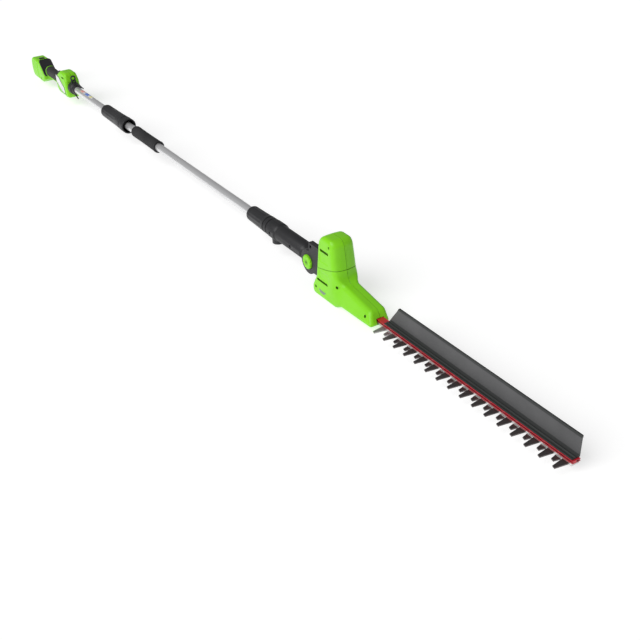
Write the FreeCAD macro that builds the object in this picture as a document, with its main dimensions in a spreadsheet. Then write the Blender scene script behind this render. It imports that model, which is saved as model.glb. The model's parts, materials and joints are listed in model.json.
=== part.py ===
import FreeCAD, Part
import Sketcher
import os
import re

# Pole hedge trimmer.  +X runs along the pole towards the blade tip, +Z is up, the teeth point to -Y.
# The origin is on the pole's axis, at the spot where a shoulder-strap clamp is fastened.

doc = FreeCAD.newDocument("PoleHedgeTrimmer")
sheet = doc.addObject("Spreadsheet::Sheet", "Sizes")

SIZES = {
    # poles
    "pole_dia": 22, "pole_wall": 1.2, "fit_gap": 0.05, "air_gap": 0.4,
    "front_pole_rear": -612, "front_pole_front": 386, "rear_pole_rear": -1015, "rear_pole_front": -622,
    "cable_dia": 6, "plug_length": 26,
    "foam_rear": -434, "foam_length": 166, "foam_thick": 5.5, "foam_ring_thick": 6.25, "foam_ring_length": 4,
    # rear twist collar and the socket inside it
    "collar_rear": -682, "collar_length": 192, "collar_rear_wall": 9, "collar_front_dia": 45,
    "collar_lip": 8, "collar_mouth": 60, "socket_dia": 32, "socket_depth": 50, "socket_tail": 40,
    # front coupler nut and the neck
    "nut_lead": 88, "nut_length": 110, "nut_rear_wall": 7.5, "nut_front_dia": 41, "nut_lip": 12,
    "neck_socket_lead": 56, "neck_collar_length": 34, "neck_collar_dia": 43, "neck_dia": 38,
    "neck_end_gap": 34, "neck_taper": 12, "neck_wall": 7, "boss_dia": 29, "boss_drop": 28, "boss_lead": 15,
    "neck_screw_lead": 103,
    # tilt knuckle
    "pivot_x": 598, "tongue_dia": 46, "tongue_half": 11.5, "bridge_half": 16,
    "cheek_dia": 55, "cheek_half": 24, "arm_drop": 19, "arm_lead": 6,
    "web_rear": 27, "web_front": 52, "web_top": 48, "window_size": 7,
    "spindle_dia": 12, "spindle_end": 14, "spring_cover": 2.5, "spring_wire": 1.2,
    "knob_dia": 32, "knob_out": 29, "knob_thick": 9, "knob_travel": 5, "knob_ribs": 12, "knob_rib_round": 2.2,
    # head shells
    "head_half": 29, "shell_wall": 3.5, "rim_round": 6, "corner_round": 9,
    "tower_rear": 52, "tower_front": 111, "tower_top": 85, "tower_foot": 46, "waist_x": 120, "waist_z": 8,
    "nose_root": 129, "nose_root_z": -5, "nose_end": 242, "nose_top": -21, "nose_lip": -49,
    "belly_z": -62, "belly_front": 111, "heel_x": 20, "heel_z": -40,
    "screw_dia": 7, "screw_sink": 1, "screw_shank": 1.4,
    "vent_length": 40, "vent_height": 5, "vent_depth": 1.5,
    # drive
    "motor_x": 82, "motor_dia": 36, "motor_length": 57, "motor_base": -1, "plate_thick": 3,
    "gear_top": -11, "gear_thick": 8, "tooth_module": 1, "pinion_count": 10, "gear_count": 40,
    "tooth_width": 1.3, "shaft_dia": 4, "axle_dia": 8, "stroke_half": 8.25, "cam_dia": 28, "cam_thick": 4,
    "link_thick": 2.4, "link_gap": 0.6, "link_rim": 4, "link_pin_dia": 6,
    "lower_pin_x": 122, "upper_pin_x": 154,
    # cutting bar
    "bar_rear": 170, "bar_end": 770, "bar_width": 16, "bar_height": 5.4, "bar_wall": 1.2, "bar_bottom": -41,
    "groove_height": 2.4, "blade_thick": 2.5, "blade_gap": 0.12, "blade_end_gap": 2,
    "pitch": 33, "teeth": 16, "first_tooth": 262, "tooth_tip": 36,
    "short_tip": 23, "tooth_root": 8.5, "root_width": 15, "tip_width": 6.5, "short_width": 13,
    "bolt_dia": 5, "bolt_first": 295, "bolt_count": 6, "bolt_step": 82.5, "bolt_head": 2.8, "bolt_nut": 2.6,
    "washer_dia": 13, "washer_thick": 1.2, "mouth_gap": 0.8,
    # hedge sweep
    "sweep_rear": 250, "sweep_end": 767, "sweep_top": 4.6, "sweep_lean": 4, "sweep_thick": 2.4,
    "sweep_slant": 30, "sweep_lip": 5, "sweep_flange": 2.6,
    # handle
    "body_front": -1000, "body_rear": -1112, "body_top": 47, "body_bottom": -36, "body_half": 25,
    "grip_top": 18, "grip_bottom": -17, "grip_half": 15, "grip_wall": 3, "sleeve_thick": 3.5,
    "block_rear": -1325, "block_front": -1256, "block_top": 28, "block_bottom": -42, "block_half": 25,
    "trigger_front": -1120, "trigger_length": 40, "trigger_half": 7, "trigger_drop": 44,
    "trigger_pin_z": -11, "trigger_pin_dia": 3, "trigger_ear": 10,
    "lock_x": -1143, "lock_length": 16, "lock_half": 5, "lock_top": 26, "slot_gap": 0.5,
    "neck_ring_dia": 48, "neck_ring_length": 44, "eye_z": 36, "eye_dia": 19, "eye_hole": 10, "eye_thick": 8,
    "badge_length": 78, "badge_height": 30, "badge_thick": 1.4, "badge_top": 25, "badge_lead": 17,
    # battery
    "battery_rear": -1410, "battery_split": -12, "battery_wall": 2.2, "cell_dia": 18, "cell_length": 65,
    "latch_length": 14, "latch_half": 9, "latch_sink": 2, "latch_rise": 2.5,
}
for row, (alias, size) in enumerate(SIZES.items(), start=1):
    sheet.set("A%d" % row, alias)
    sheet.set("B%d" % row, str(size))
    sheet.setAlias("B%d" % row, alias)
doc.recompute()

WORDS = re.compile(r"[a-z_]+")
X_AXIS = FreeCAD.Vector(1, 0, 0)
Y_AXIS = FreeCAD.Vector(0, 1, 0)
Z_AXIS = FreeCAD.Vector(0, 0, 1)
TURN = {"X": FreeCAD.Rotation(Y_AXIS, 90), "Y": FreeCAD.Rotation(X_AXIS, -90), "Z": FreeCAD.Rotation()}
nodes = []


def formula(text):
    """The text with every named size written as a cell of the sheet."""
    return WORDS.sub(lambda word: "Sizes." + word.group() if word.group() in SIZES else word.group(), text)


def number(text):
    """The value of a sum such as 'pivot_x + tower_rear - shell_wall/2'."""
    total = 0.0
    sign = 1.0
    for token in text.split():
        if token in "+-":
            sign = -1.0 if token == "-" else 1.0
            continue
        top, *bottoms = token.split("/")
        term = sign
        for factor in top.split("*"):
            term *= SIZES[factor] if factor in SIZES else float(factor)
        for divisor in bottoms:
            term /= float(divisor)
        total += term
        sign = 1.0
    return total


def tie(target, prop, text):
    target.setExpression(prop, formula(text))


def place(target, x, y, z):
    tie(target, "Placement.Base.x", x)
    tie(target, "Placement.Base.y", y)
    tie(target, "Placement.Base.z", z)


def box(name, x, y, z):
    """A block between two values on each axis."""
    block = doc.addObject("Part::Box", name)
    for prop, (low, high) in zip(("Length", "Width", "Height"), (x, y, z)):
        tie(block, prop, "(%s) - (%s)" % (high, low))
    place(block, x[0], y[0], z[0])
    return block


def rod(name, axis, start, radius, length):
    """A cylinder from a start point along an axis."""
    cylinder = doc.addObject("Part::Cylinder", name)
    cylinder.Placement.Rotation = TURN[axis]
    tie(cylinder, "Radius", radius)
    tie(cylinder, "Height", length)
    place(cylinder, *start)
    return cylinder


def fuse(name, pieces):
    joined = doc.addObject("Part::MultiFuse", name)
    joined.Shapes = pieces
    return joined


def group(name, pieces):
    """Separate solids that share one node."""
    bundle = doc.addObject("Part::Compound", name)
    bundle.Links = pieces
    return bundle


def cut(name, base, tools):
    result = doc.addObject("Part::Cut", name)
    result.Base = base
    result.Tool = tools[0] if len(tools) == 1 else fuse(name + "_tools", tools)
    return result


def overlap(name, first, second):
    result = doc.addObject("Part::Common", name)
    result.Base = first
    result.Tool = second
    return result


def new_sketch(body, role, offset="0"):
    plane = [feature for feature in body.Origin.OriginFeatures if feature.Role == role][0]
    sketch = body.newObject("Sketcher::SketchObject", body.Name + "_sketch")
    sketch.AttachmentSupport = [(plane, "")]
    sketch.MapMode = "FlatFace"
    tie(sketch, "AttachmentOffset.Base.z", offset)
    return sketch


def outline(sketch, points):
    """A closed polygon, each corner tied to the sheet."""
    corners = [FreeCAD.Vector(number(x), number(y), 0) for x, y in points]
    first = sketch.GeometryCount
    count = len(corners)
    for index in range(count):
        sketch.addGeometry(Part.LineSegment(corners[index], corners[(index + 1) % count]), False)
    for index in range(count):
        follower = first + (index + 1) % count
        sketch.addConstraint(Sketcher.Constraint("Coincident", first + index, 2, follower, 1))
    for index, (x, y) in enumerate(points):
        for kind, text, value in (("DistanceX", x, corners[index].x), ("DistanceY", y, corners[index].y)):
            rule = Sketcher.Constraint(kind, -1, 1, first + index, 1, value)
            place_in_list = sketch.addConstraint(rule)
            tie(sketch, "Constraints[%d]" % place_in_list, text)


def prism(name, role, points, low, high):
    """A body padded from an outline; low and high are measured along the plane's normal."""
    body = doc.addObject("PartDesign::Body", name)
    sketch = new_sketch(body, role, low)
    outline(sketch, points)
    pad = body.newObject("PartDesign::Pad", name + "_pad")
    pad.Profile = sketch
    tie(pad, "Length", "(%s) - (%s)" % (high, low))
    doc.recompute()
    return body


def turned(name, axis, points, centre=("0", "0", "0")):
    """A body of revolution; points are (along, radius) for X and (radius, along) for Y and Z."""
    body = doc.addObject("PartDesign::Body", name)
    sketch = new_sketch(body, "XY_Plane" if axis == "Y" else "XZ_Plane")
    outline(sketch, points)
    revolution = body.newObject("PartDesign::Revolution", name + "_turn")
    revolution.Profile = sketch
    revolution.ReferenceAxis = (sketch, ["H_Axis" if axis == "X" else "V_Axis"])
    revolution.Angle = 360
    place(body, *centre)
    doc.recompute()
    return body


def round_edges(body, radius, wanted):
    """A fillet on the edges of the body's last feature that the test picks."""
    base = body.Tip
    names = ["Edge%d" % (i + 1) for i, edge in enumerate(base.Shape.Edges) if wanted(edge)]
    fillet = body.newObject("PartDesign::Fillet", body.Name + "_round")
    fillet.Base = (base, names)
    tie(fillet, "Radius", radius)
    doc.recompute()
    return body


def runs_along(edge, axis):
    if len(edge.Vertexes) < 2:
        return False
    step = edge.Vertexes[1].Point - edge.Vertexes[0].Point
    return step.Length > 1e-6 and abs(step.normalize().dot(axis)) > 0.999


def lies_at(edge, axis, value):
    return all(abs(vertex.Point.dot(axis) - value) < 1e-4 for vertex in edge.Vertexes)


def keep(piece, name):
    """Gives a finished sub-part its own label, which names its file."""
    piece.Label = name
    nodes.append(piece)
    return piece


def spring(name, axis, start, radius, length, turns):
    """A coil: a wire section swept along a helix."""
    helix = doc.addObject("Part::Helix", name + "_helix")
    tie(helix, "Radius", radius)
    tie(helix, "Pitch", "(%s) / %d" % (length, turns))
    tie(helix, "Height", length)
    wire = doc.addObject("Part::Circle", name + "_wire")
    tie(wire, "Radius", "spring_wire / 2")
    wire.Placement.Rotation = FreeCAD.Rotation(X_AXIS, 90)
    tie(wire, "Placement.Base.x", radius)
    sweep = doc.addObject("Part::Sweep", name)
    sweep.Sections = [wire]
    sweep.Spine = (helix, [])
    sweep.Solid = True
    sweep.Frenet = True
    sweep.Placement.Rotation = TURN[axis]
    place(sweep, *start)
    return sweep


# ---- poles -------------------------------------------------------------------------------------
def pole_tube(name, start, end):
    outer = rod(name + "_outer", "X", (start, "0", "0"), "pole_dia/2", "(%s) - (%s)" % (end, start))
    inner = rod(name + "_inner", "X", (start + " - 1", "0", "0"), "pole_dia/2 - pole_wall",
                "(%s) - (%s) + 2" % (end, start))
    return keep(cut(name, outer, [inner]), name)


def pole_plug(name, start):
    """A contact plug pressed into a tube's end."""
    core = rod(name + "_core", "X", (start, "0", "0"), "pole_dia/2 - pole_wall", "plug_length")
    way = rod(name + "_way", "X", (start + " - 1", "0", "0"), "cable_dia/2", "plug_length + 2")
    return keep(cut(name, core, [way]), name)


pole_tube("rear_pole_tube", "rear_pole_rear", "rear_pole_front")
pole_tube("front_pole_tube", "front_pole_rear", "front_pole_front")
pole_plug("front_pole_rear_plug", "front_pole_rear")
pole_plug("front_pole_front_plug", "front_pole_front - plug_length")
keep(rod("rear_pole_cable", "X", ("rear_pole_rear", "0", "0"), "cable_dia/2",
         "rear_pole_front - rear_pole_rear - socket_tail - 6"), "rear_pole_cable")
keep(rod("front_pole_cable", "X", ("front_pole_rear", "0", "0"), "cable_dia/2",
         "front_pole_front - front_pole_rear"), "front_pole_cable")

FOAM = "pole_dia/2 + foam_thick"
FOAM_FRONT = "foam_rear + foam_length"
foam = turned("foam_grip", "X", [
    ("foam_rear", "pole_dia/2"), ("foam_rear", FOAM + " - 4"), ("foam_rear + 5", FOAM),
    (FOAM_FRONT, FOAM), (FOAM_FRONT, "pole_dia/2")])
keep(foam, "foam_grip")
FOAM_RING = "pole_dia/2 + foam_ring_thick"
foam_ring = turned("foam_end_ring", "X", [
    (FOAM_FRONT, "pole_dia/2"), (FOAM_FRONT, FOAM_RING),
    (FOAM_FRONT + " + foam_ring_length", FOAM_RING + " - 1"),
    (FOAM_FRONT + " + foam_ring_length", "pole_dia/2")])
keep(foam_ring, "foam_end_ring")

# ---- rear coupling: socket on the rear pole, twist collar around it ---------------------------------
rear_socket = turned("rear_pole_socket", "X", [
    ("rear_pole_front - socket_tail", "cable_dia/2"),
    ("rear_pole_front - socket_tail", "pole_dia/2 - pole_wall"),
    ("rear_pole_front", "pole_dia/2 - pole_wall"), ("rear_pole_front", "socket_dia/2"),
    ("front_pole_rear + socket_depth", "socket_dia/2"),
    ("front_pole_rear + socket_depth", "pole_dia/2 + fit_gap"),
    ("front_pole_rear - 1", "pole_dia/2 + fit_gap"), ("front_pole_rear - 1", "cable_dia/2")])
keep(rear_socket, "rear_pole_socket")

COLLAR_REAR = "pole_dia/2 + collar_rear_wall"
COLLAR_FRONT = "collar_front_dia/2"
COLLAR_END = "collar_rear + collar_length"
BARE_POLE = "pole_dia/2 + air_gap"
SOCKET_ROOM = "socket_dia/2 + air_gap"
collar = turned("twist_collar", "X", [
    ("collar_rear", BARE_POLE), ("collar_rear", COLLAR_REAR + " - 5"),
    ("collar_rear + 3", COLLAR_REAR + " - 1.5"),
    ("collar_rear + 9", COLLAR_REAR), (COLLAR_END + " - 34", COLLAR_FRONT + " - 1"),
    (COLLAR_END + " - 33", COLLAR_FRONT + " - 2"), (COLLAR_END + " - 30", COLLAR_FRONT + " - 2"),
    (COLLAR_END + " - 29", COLLAR_FRONT), (COLLAR_END + " - 3", COLLAR_FRONT),
    (COLLAR_END, COLLAR_FRONT + " - 2"), (COLLAR_END, COLLAR_FRONT + " - 4"),
    (COLLAR_END + " - collar_mouth", SOCKET_ROOM), ("collar_rear + collar_lip", SOCKET_ROOM),
    ("collar_rear + collar_lip", BARE_POLE)])
keep(collar, "twist_collar")

# ---- front coupling: nut on the front pole, socket on the neck -------------------------------------
NUT_REAR = "front_pole_front - nut_lead"
NUT_END = NUT_REAR + " + nut_length"
NUT_TAIL = "pole_dia/2 + nut_rear_wall"
NUT_FRONT = "nut_front_dia/2"
nut = turned("front_coupler_nut", "X", [
    (NUT_REAR, BARE_POLE), (NUT_REAR, NUT_TAIL + " - 5"), (NUT_REAR + " + 3", NUT_TAIL + " - 1.5"),
    (NUT_REAR + " + 9", NUT_TAIL), (NUT_END + " - 24", NUT_FRONT), (NUT_END + " - 23", NUT_FRONT + " - 1.2"),
    (NUT_END + " - 20", NUT_FRONT + " - 1.2"), (NUT_END + " - 19", NUT_FRONT), (NUT_END + " - 9", NUT_FRONT),
    (NUT_END + " - 8", NUT_FRONT + " - 1.2"), (NUT_END + " - 5", NUT_FRONT + " - 1.2"),
    (NUT_END + " - 4", NUT_FRONT), (NUT_END, NUT_FRONT), (NUT_END, SOCKET_ROOM),
    (NUT_REAR + " + nut_lip", SOCKET_ROOM), (NUT_REAR + " + nut_lip", BARE_POLE)])
keep(nut, "front_coupler_nut")

NECK_START = NUT_END + " + air_gap"
SOCKET_REAR = "front_pole_front - neck_socket_lead"
neck_socket = turned("neck_socket", "X", [
    (SOCKET_REAR, "pole_dia/2 + fit_gap"), (SOCKET_REAR, "socket_dia/2"),
    (NECK_START + " + neck_collar_length", "socket_dia/2"),
    (NECK_START + " + neck_collar_length", "cable_dia"),
    ("front_pole_front + 1", "cable_dia"), ("front_pole_front + 1", "pole_dia/2 + fit_gap")])
keep(neck_socket, "neck_socket")


# ---- screws ----------------------------------------------------------------------------------
def screw(name, x, y, z, length):
    """A pan-head screw driven in along +Y."""
    head = rod(name + "_head", "Y", (x, y, z), "screw_dia/2 - 0.4", "2")
    shank = rod(name + "_shank", "Y", (x, y + " + 2", z), "screw_shank", length)
    recess = box(name + "_recess", (x + " - 1.8", x + " + 1.8"), (y + " - 1", y + " + 1"),
                 (z + " - 0.5", z + " + 0.5"))
    return cut(name, fuse(name + "_body", [head, shank]), [recess])


def screw_hole(name, x, face, z):
    """A counterbore and a pilot hole for a screw that is driven in from a -Y face."""
    return [rod(name, "Y", (x, face + " - 1", z), "screw_dia/2", "4"),
            rod(name + "_pilot", "Y", (x, face + " + 2", z), "screw_shank", "9.5")]


# ---- neck: two half shells around the socket, ending in the tilt tongue -----------------------------
NECK_SCREWS = [(NECK_START + " + boss_lead", "neck_collar_dia/2", "2"),
               (NECK_START + " + neck_screw_lead", "neck_dia/2", "4")]


def neck_half(name, side):
    barrel = turned(name + "_barrel", "X", [
        (NECK_START, "0"), (NECK_START, "neck_collar_dia/2 - 1"), (NECK_START + " + 1", "neck_collar_dia/2"),
        (NECK_START + " + neck_collar_length - 4", "neck_collar_dia/2"),
        (NECK_START + " + neck_collar_length", "neck_dia/2"),
        ("pivot_x - neck_end_gap - neck_taper", "neck_dia/2"), ("pivot_x - neck_end_gap", "neck_dia/2 - 7"),
        ("pivot_x - neck_end_gap", "0")])
    tongue = rod(name + "_tongue", "Y", ("pivot_x", "0 - tongue_half", "0"), "tongue_dia/2", "2*tongue_half")
    bridge = box(name + "_bridge", ("pivot_x - neck_end_gap - 4", "pivot_x"),
                 ("0 - tongue_half", "tongue_half"), ("0 - bridge_half", "bridge_half"))
    boss = rod(name + "_boss", "Z", (NECK_START + " + boss_lead", "0", "0 - boss_drop"),
               "boss_dia/2", "boss_drop")
    solid = fuse(name + "_solid", [barrel, tongue, bridge, boss])
    y_range = ("0 - neck_collar_dia", "0") if side < 0 else ("0", "neck_collar_dia")
    side_block = box(name + "_side", (NECK_START + " - 1", "pivot_x + tongue_dia"), y_range,
                     ("0 - neck_collar_dia", "neck_collar_dia"))
    half = overlap(name + "_half", solid, side_block)
    tools = [
        rod(name + "_seat", "X", (NECK_START + " - 1", "0", "0"), "socket_dia/2", "neck_collar_length + 1"),
        rod(name + "_way", "X", (NECK_START, "0", "0"), "neck_dia/2 - neck_wall",
            "pivot_x - neck_end_gap - 8 - (%s)" % NECK_START),
        rod(name + "_eye", "Y", ("pivot_x", "0 - tongue_half - 1", "0"), "spindle_dia/2 + fit_gap",
            "2*tongue_half + 2")]
    if side < 0:
        for index, (x, radius, _) in enumerate(NECK_SCREWS):
            tools += screw_hole("%s_bore_%d" % (name, index), x, "0 - " + radius, "0")
    return keep(cut(name, half, tools), name)


neck_half("neck_shell_left", -1)
neck_half("neck_shell_right", 1)
keep(group("neck_screws", [screw("neck_screw_%d" % k, x, "0 - %s + screw_sink" % radius, "0", length)
                           for k, (x, radius, length) in enumerate(NECK_SCREWS)]), "neck_screws")


# ---- tilt knuckle -----------------------------------------------------------------------------
def cheek(name, low, high, bore_low, bore_high):
    """One side of the fork: a disc round the pivot, an arm to the head and a lug above it."""
    disc = rod(name + "_disc", "Y", ("pivot_x", low, "0"), "cheek_dia/2", "(%s) - (%s)" % (high, low))
    arm = box(name + "_arm", ("pivot_x", "pivot_x + web_front"), (low, high), ("0 - arm_drop", "cheek_dia/2"))
    lug = box(name + "_lug", ("pivot_x + arm_lead", "pivot_x + web_front"), (low, high), ("0", "web_top"))
    bore = rod(name + "_bore", "Y", ("pivot_x", bore_low, "0"), "spindle_dia/2 + fit_gap",
               "(%s) - (%s)" % (bore_high, bore_low))
    window = box(name + "_window", ("pivot_x + arm_lead + 5", "pivot_x + arm_lead + 5 + window_size"),
                 (low + " - 1", high + " + 1"), ("web_top - 4 - window_size", "web_top - 4"))
    return cut(name, fuse(name + "_solid", [disc, arm, lug]), [bore, window])


left_cheek = cheek("left_cheek", "0 - cheek_half", "0 - tongue_half - air_gap", "0 - cheek_half - 1",
                   "0 - tongue_half + 1")
knob_seat = rod("knob_seat", "Y", ("pivot_x", "0 - cheek_half - 1", "0"), "knob_dia/2 + air_gap",
                "cheek_half + 1 - knob_out + knob_thick + knob_travel + 0.5")
right_cheek = cheek("right_cheek", "tongue_half + air_gap", "cheek_half", "tongue_half - 1",
                    "cheek_half - spring_cover")
web = box("yoke_web", ("pivot_x + web_rear", "pivot_x + web_front"), ("0 - cheek_half", "cheek_half"),
          ("0 - arm_drop", "web_top"))
yoke = fuse("yoke_solid", [cut("left_cheek_seated", left_cheek, [knob_seat]), right_cheek, web])
keep(yoke, "head_yoke")

spindle = rod("tilt_spindle", "Y", ("pivot_x", "0 - knob_out + knob_thick", "0"), "spindle_dia/2",
              "spindle_end + knob_out - knob_thick")
keep(spindle, "tilt_spindle")


def tilt_knob():
    """A push knob with round ribs for grip and a dimple in the middle."""
    disc = rod("knob_disc", "Y", ("pivot_x", "0 - knob_out", "0"), "knob_dia/2 - 1", "knob_thick")
    ribs = []
    for index in range(SIZES["knob_ribs"]):
        rib = rod("knob_rib_%02d" % index, "Y", ("pivot_x", "0 - knob_out + 1", "0"), "knob_rib_round",
                  "knob_thick - 1")
        angle = "%d deg" % (index * 360 / SIZES["knob_ribs"])
        tie(rib, "Placement.Base.x", "pivot_x + (knob_dia/2 - knob_rib_round) * cos(%s)" % angle)
        tie(rib, "Placement.Base.z", "(knob_dia/2 - knob_rib_round) * sin(%s)" % angle)
        ribs.append(rib)
    dimple = rod("knob_dimple", "Y", ("pivot_x", "0 - knob_out - 1", "0"), "3", "2")
    return keep(cut("tilt_lock_knob", fuse("knob_solid", [disc] + ribs), [dimple]), "tilt_lock_knob")


tilt_knob()
keep(spring("tilt_spring", "Y", ("pivot_x", "spindle_end + 0.9", "0"), "spindle_dia/2 - 1.5",
            "cheek_half - spring_cover - spindle_end - 1.8", 3), "tilt_spring")


# ---- head shells ------------------------------------------------------------------------------
HEAD = [
    ("tower_rear", "tower_top - 12"), ("tower_rear + 11", "tower_top"), ("tower_front - 8", "tower_top"),
    ("tower_front", "tower_top - 9"), ("waist_x", "waist_z"), ("nose_root", "nose_root_z"),
    ("nose_end - 18", "nose_top"), ("nose_end", "nose_top - 14"), ("nose_end", "nose_lip"),
    ("belly_front + 10", "nose_lip - 4"), ("belly_front", "belly_z"), ("heel_x + 10", "belly_z"),
    ("heel_x", "belly_z + 11"), ("heel_x + 3", "heel_z"), ("tower_foot - 8", "0 - 12"), ("tower_foot", "30")]
HEAD_INWARD = [(1, -0.4), (0.4, -1), (-0.6, -1), (-1, -0.6), (-1, 0), (-1.2, -1), (-0.5, -1), (-1, -0.5),
               (-1, 1), (-0.2, 1), (-0.6, 1), (0.6, 1), (1, 0.6), (1, 0), (1, 0), (1, 0)]


def from_pivot(points):
    return [("pivot_x + " + x, z) for x, z in points]


def inset(points, inward, wall):
    """The outline moved in by a wall; each corner has its own direction in shares of the wall."""
    return [("%s + %s*%s" % (x, dx, wall), "%s + %s*%s" % (z, dz, wall))
            for (x, z), (dx, dz) in zip(points, inward)]


def half_shell(name, side, points, inward, half, tools):
    """One moulded half, split on the plane through the pole, hollowed from that plane."""
    low, high = ("0", half) if side < 0 else ("0 - " + half, "0")
    outer = prism(name + "_outer", "XZ_Plane", points, low, high)
    round_edges(outer, "corner_round", lambda edge: runs_along(edge, Y_AXIS))
    round_edges(outer, "rim_round", lambda edge: lies_at(edge, Y_AXIS, side * number(half)))
    low, high = ("0 - 1", half + " - shell_wall") if side < 0 else ("0 - %s + shell_wall" % half, "1")
    inner = prism(name + "_inner", "XZ_Plane", inset(points, inward, "shell_wall"), low, high)
    return keep(cut(name, outer, [inner] + tools), name)


HEAD_SCREWS = [("tower_front - 10", "tower_top - 12"), ("waist_x + 2", "nose_root_z - 6"),
               ("nose_end - 20", "nose_top - 10"), ("heel_x + 16", "belly_z + 12")]
VENTS = [("tower_rear + 14", "waist_z + 46"), ("tower_foot", "0 - 15")]


def head_tools(name, side):
    """What is taken out of a head half: the bar's mouth, the fork's seat, two vents and the screw holes."""
    tools = [
        box(name + "_mouth", ("pivot_x + nose_end - 30", "pivot_x + nose_end + 5"),
            ("0 - tooth_root - mouth_gap", "tooth_root + mouth_gap"),
            ("nose_lip - 6", "bar_bottom + bar_height + mouth_gap")),
        box(name + "_fork", ("pivot_x + web_rear", "pivot_x + web_front"), ("0 - cheek_half", "cheek_half"),
            ("0 - arm_drop", "web_top"))]
    y_range = ("0 - head_half - 1", "0 - head_half + vent_depth")
    if side > 0:
        y_range = ("head_half - vent_depth", "head_half + 1")
    for index, (x, z) in enumerate(VENTS):
        tools.append(box("%s_vent_%d" % (name, index), ("pivot_x + " + x, "pivot_x + %s + vent_length" % x),
                         y_range, (z, z + " + vent_height")))
    if side < 0:
        for index, (x, z) in enumerate(HEAD_SCREWS):
            tools += screw_hole("%s_bore_%d" % (name, index), "pivot_x + " + x, "0 - head_half", z)
    return tools


half_shell("head_shell_left", -1, from_pivot(HEAD), HEAD_INWARD, "head_half", head_tools("left", -1))
half_shell("head_shell_right", 1, from_pivot(HEAD), HEAD_INWARD, "head_half", head_tools("right", 1))
keep(group("head_screws", [screw("head_screw_%d" % k, "pivot_x + " + x, "0 - head_half + screw_sink", z, "6")
                           for k, (x, z) in enumerate(HEAD_SCREWS)]), "head_screws")

# ---- motor and gears ----------------------------------------------------------------------------
MOTOR_X = "pivot_x + motor_x"
GEAR_X = "pivot_x + motor_x + tooth_module*pinion_count/2 + tooth_module*gear_count/2"
PLATE_LOW = "motor_base - plate_thick"
can = fuse("motor_solid", [
    rod("motor_body", "Z", (MOTOR_X, "0", "motor_base"), "motor_dia/2", "motor_length"),
    rod("motor_cap", "Z", (MOTOR_X, "0", "motor_base + motor_length"), "motor_dia/4", "4")])
keep(cut("motor_can", can, [rod("motor_bore", "Z", (MOTOR_X, "0", "motor_base - 1"), "shaft_dia/2 + fit_gap",
                                "motor_length/2")]), "motor_can")
plate = box("plate_block", ("pivot_x + web_front + 2", "pivot_x + waist_x - shell_wall*2"),
            ("0 - motor_dia/2 - 3", "motor_dia/2 + 3"), (PLATE_LOW, "motor_base"))
keep(cut("gear_plate", plate, [
    rod("plate_shaft_hole", "Z", (MOTOR_X, "0", PLATE_LOW + " - 1"), "shaft_dia/2 + 1", "plate_thick + 2")]),
    "gear_plate")


def toothed_wheel(name, x, bottom, count, thickness, first_angle):
    """A spur wheel: a round blank and one straight-sided tooth, patterned round it."""
    body = doc.addObject("PartDesign::Body", name)
    blank = new_sketch(body, "XY_Plane")
    blank.addGeometry(Part.Circle(FreeCAD.Vector(), Z_AXIS, SIZES[count] / 2.0), False)
    blank.addConstraint(Sketcher.Constraint("Coincident", 0, 3, -1, 1))
    size_rule = blank.addConstraint(Sketcher.Constraint("Radius", 0, SIZES[count] / 2.0))
    tie(blank, "Constraints[%d]" % size_rule, "tooth_module*%s/2 - 1.1*tooth_module" % count)
    hub = body.newObject("PartDesign::Pad", name + "_hub")
    hub.Profile = blank
    tie(hub, "Length", thickness)
    profile = new_sketch(body, "XY_Plane")
    outline(profile, [
        ("tooth_module*%s/2 - 1.4*tooth_module" % count, "0 - tooth_width/2 - 0.3"),
        ("tooth_module*%s/2 + 0.7*tooth_module" % count, "0 - tooth_width/2 + 0.3"),
        ("tooth_module*%s/2 + 0.7*tooth_module" % count, "tooth_width/2 - 0.3"),
        ("tooth_module*%s/2 - 1.4*tooth_module" % count, "tooth_width/2 + 0.3")])
    tooth = body.newObject("PartDesign::Pad", name + "_tooth")
    tooth.Profile = profile
    tie(tooth, "Length", thickness)
    body.Tip = tooth
    doc.recompute()
    ring = body.newObject("PartDesign::PolarPattern", name + "_teeth")
    ring.Originals = [tooth]
    ring.Axis = (blank, ["N_Axis"])
    ring.Angle = 360
    tie(ring, "Occurrences", count)
    body.Tip = ring
    body.Placement.Rotation = FreeCAD.Rotation(Z_AXIS, first_angle)
    place(body, x, "0", bottom)
    doc.recompute()
    return body


GEAR_LOW = "gear_top - gear_thick"
CAM_LOW = "gear_top - gear_thick - 2*cam_thick"
pinion = toothed_wheel("pinion_wheel", MOTOR_X, GEAR_LOW, "pinion_count", "gear_thick",
                       180.0 / SIZES["pinion_count"])
shaft = rod("motor_shaft_rod", "Z", (MOTOR_X, "0", GEAR_LOW), "shaft_dia/2",
            "motor_base + motor_length/2 - 2 - gear_top + gear_thick")
keep(fuse("motor_shaft", [pinion, shaft]), "motor_shaft")
keep(rod("crank_axle", "Z", (GEAR_X, "0", CAM_LOW), "axle_dia/2",
         PLATE_LOW + " - gear_top + gear_thick + 2*cam_thick"), "crank_axle")
wheel = toothed_wheel("crank_wheel", GEAR_X, GEAR_LOW, "gear_count", "gear_thick", 0)
cams = [rod("upper_cam", "Z", (GEAR_X, "stroke_half", GEAR_LOW + " - cam_thick"), "cam_dia/2", "cam_thick"),
        rod("lower_cam", "Z", (GEAR_X, "0 - stroke_half", CAM_LOW), "cam_dia/2", "cam_thick")]
keep(cut("crank_gear", fuse("crank_solid", [wheel] + cams),
         [rod("crank_bore", "Z", (GEAR_X, "0", CAM_LOW + " - 1"), "axle_dia/2 + fit_gap",
              "gear_thick + 2*cam_thick + 2")]), "crank_gear")

# ---- cutting bar and blades ---------------------------------------------------------------------
UPPER_TOP = "bar_bottom - blade_gap"
LOWER_TOP = "bar_bottom - 2*blade_gap - blade_thick"
BLADES_LOW = "bar_bottom - 2*blade_gap - 2*blade_thick"


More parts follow.
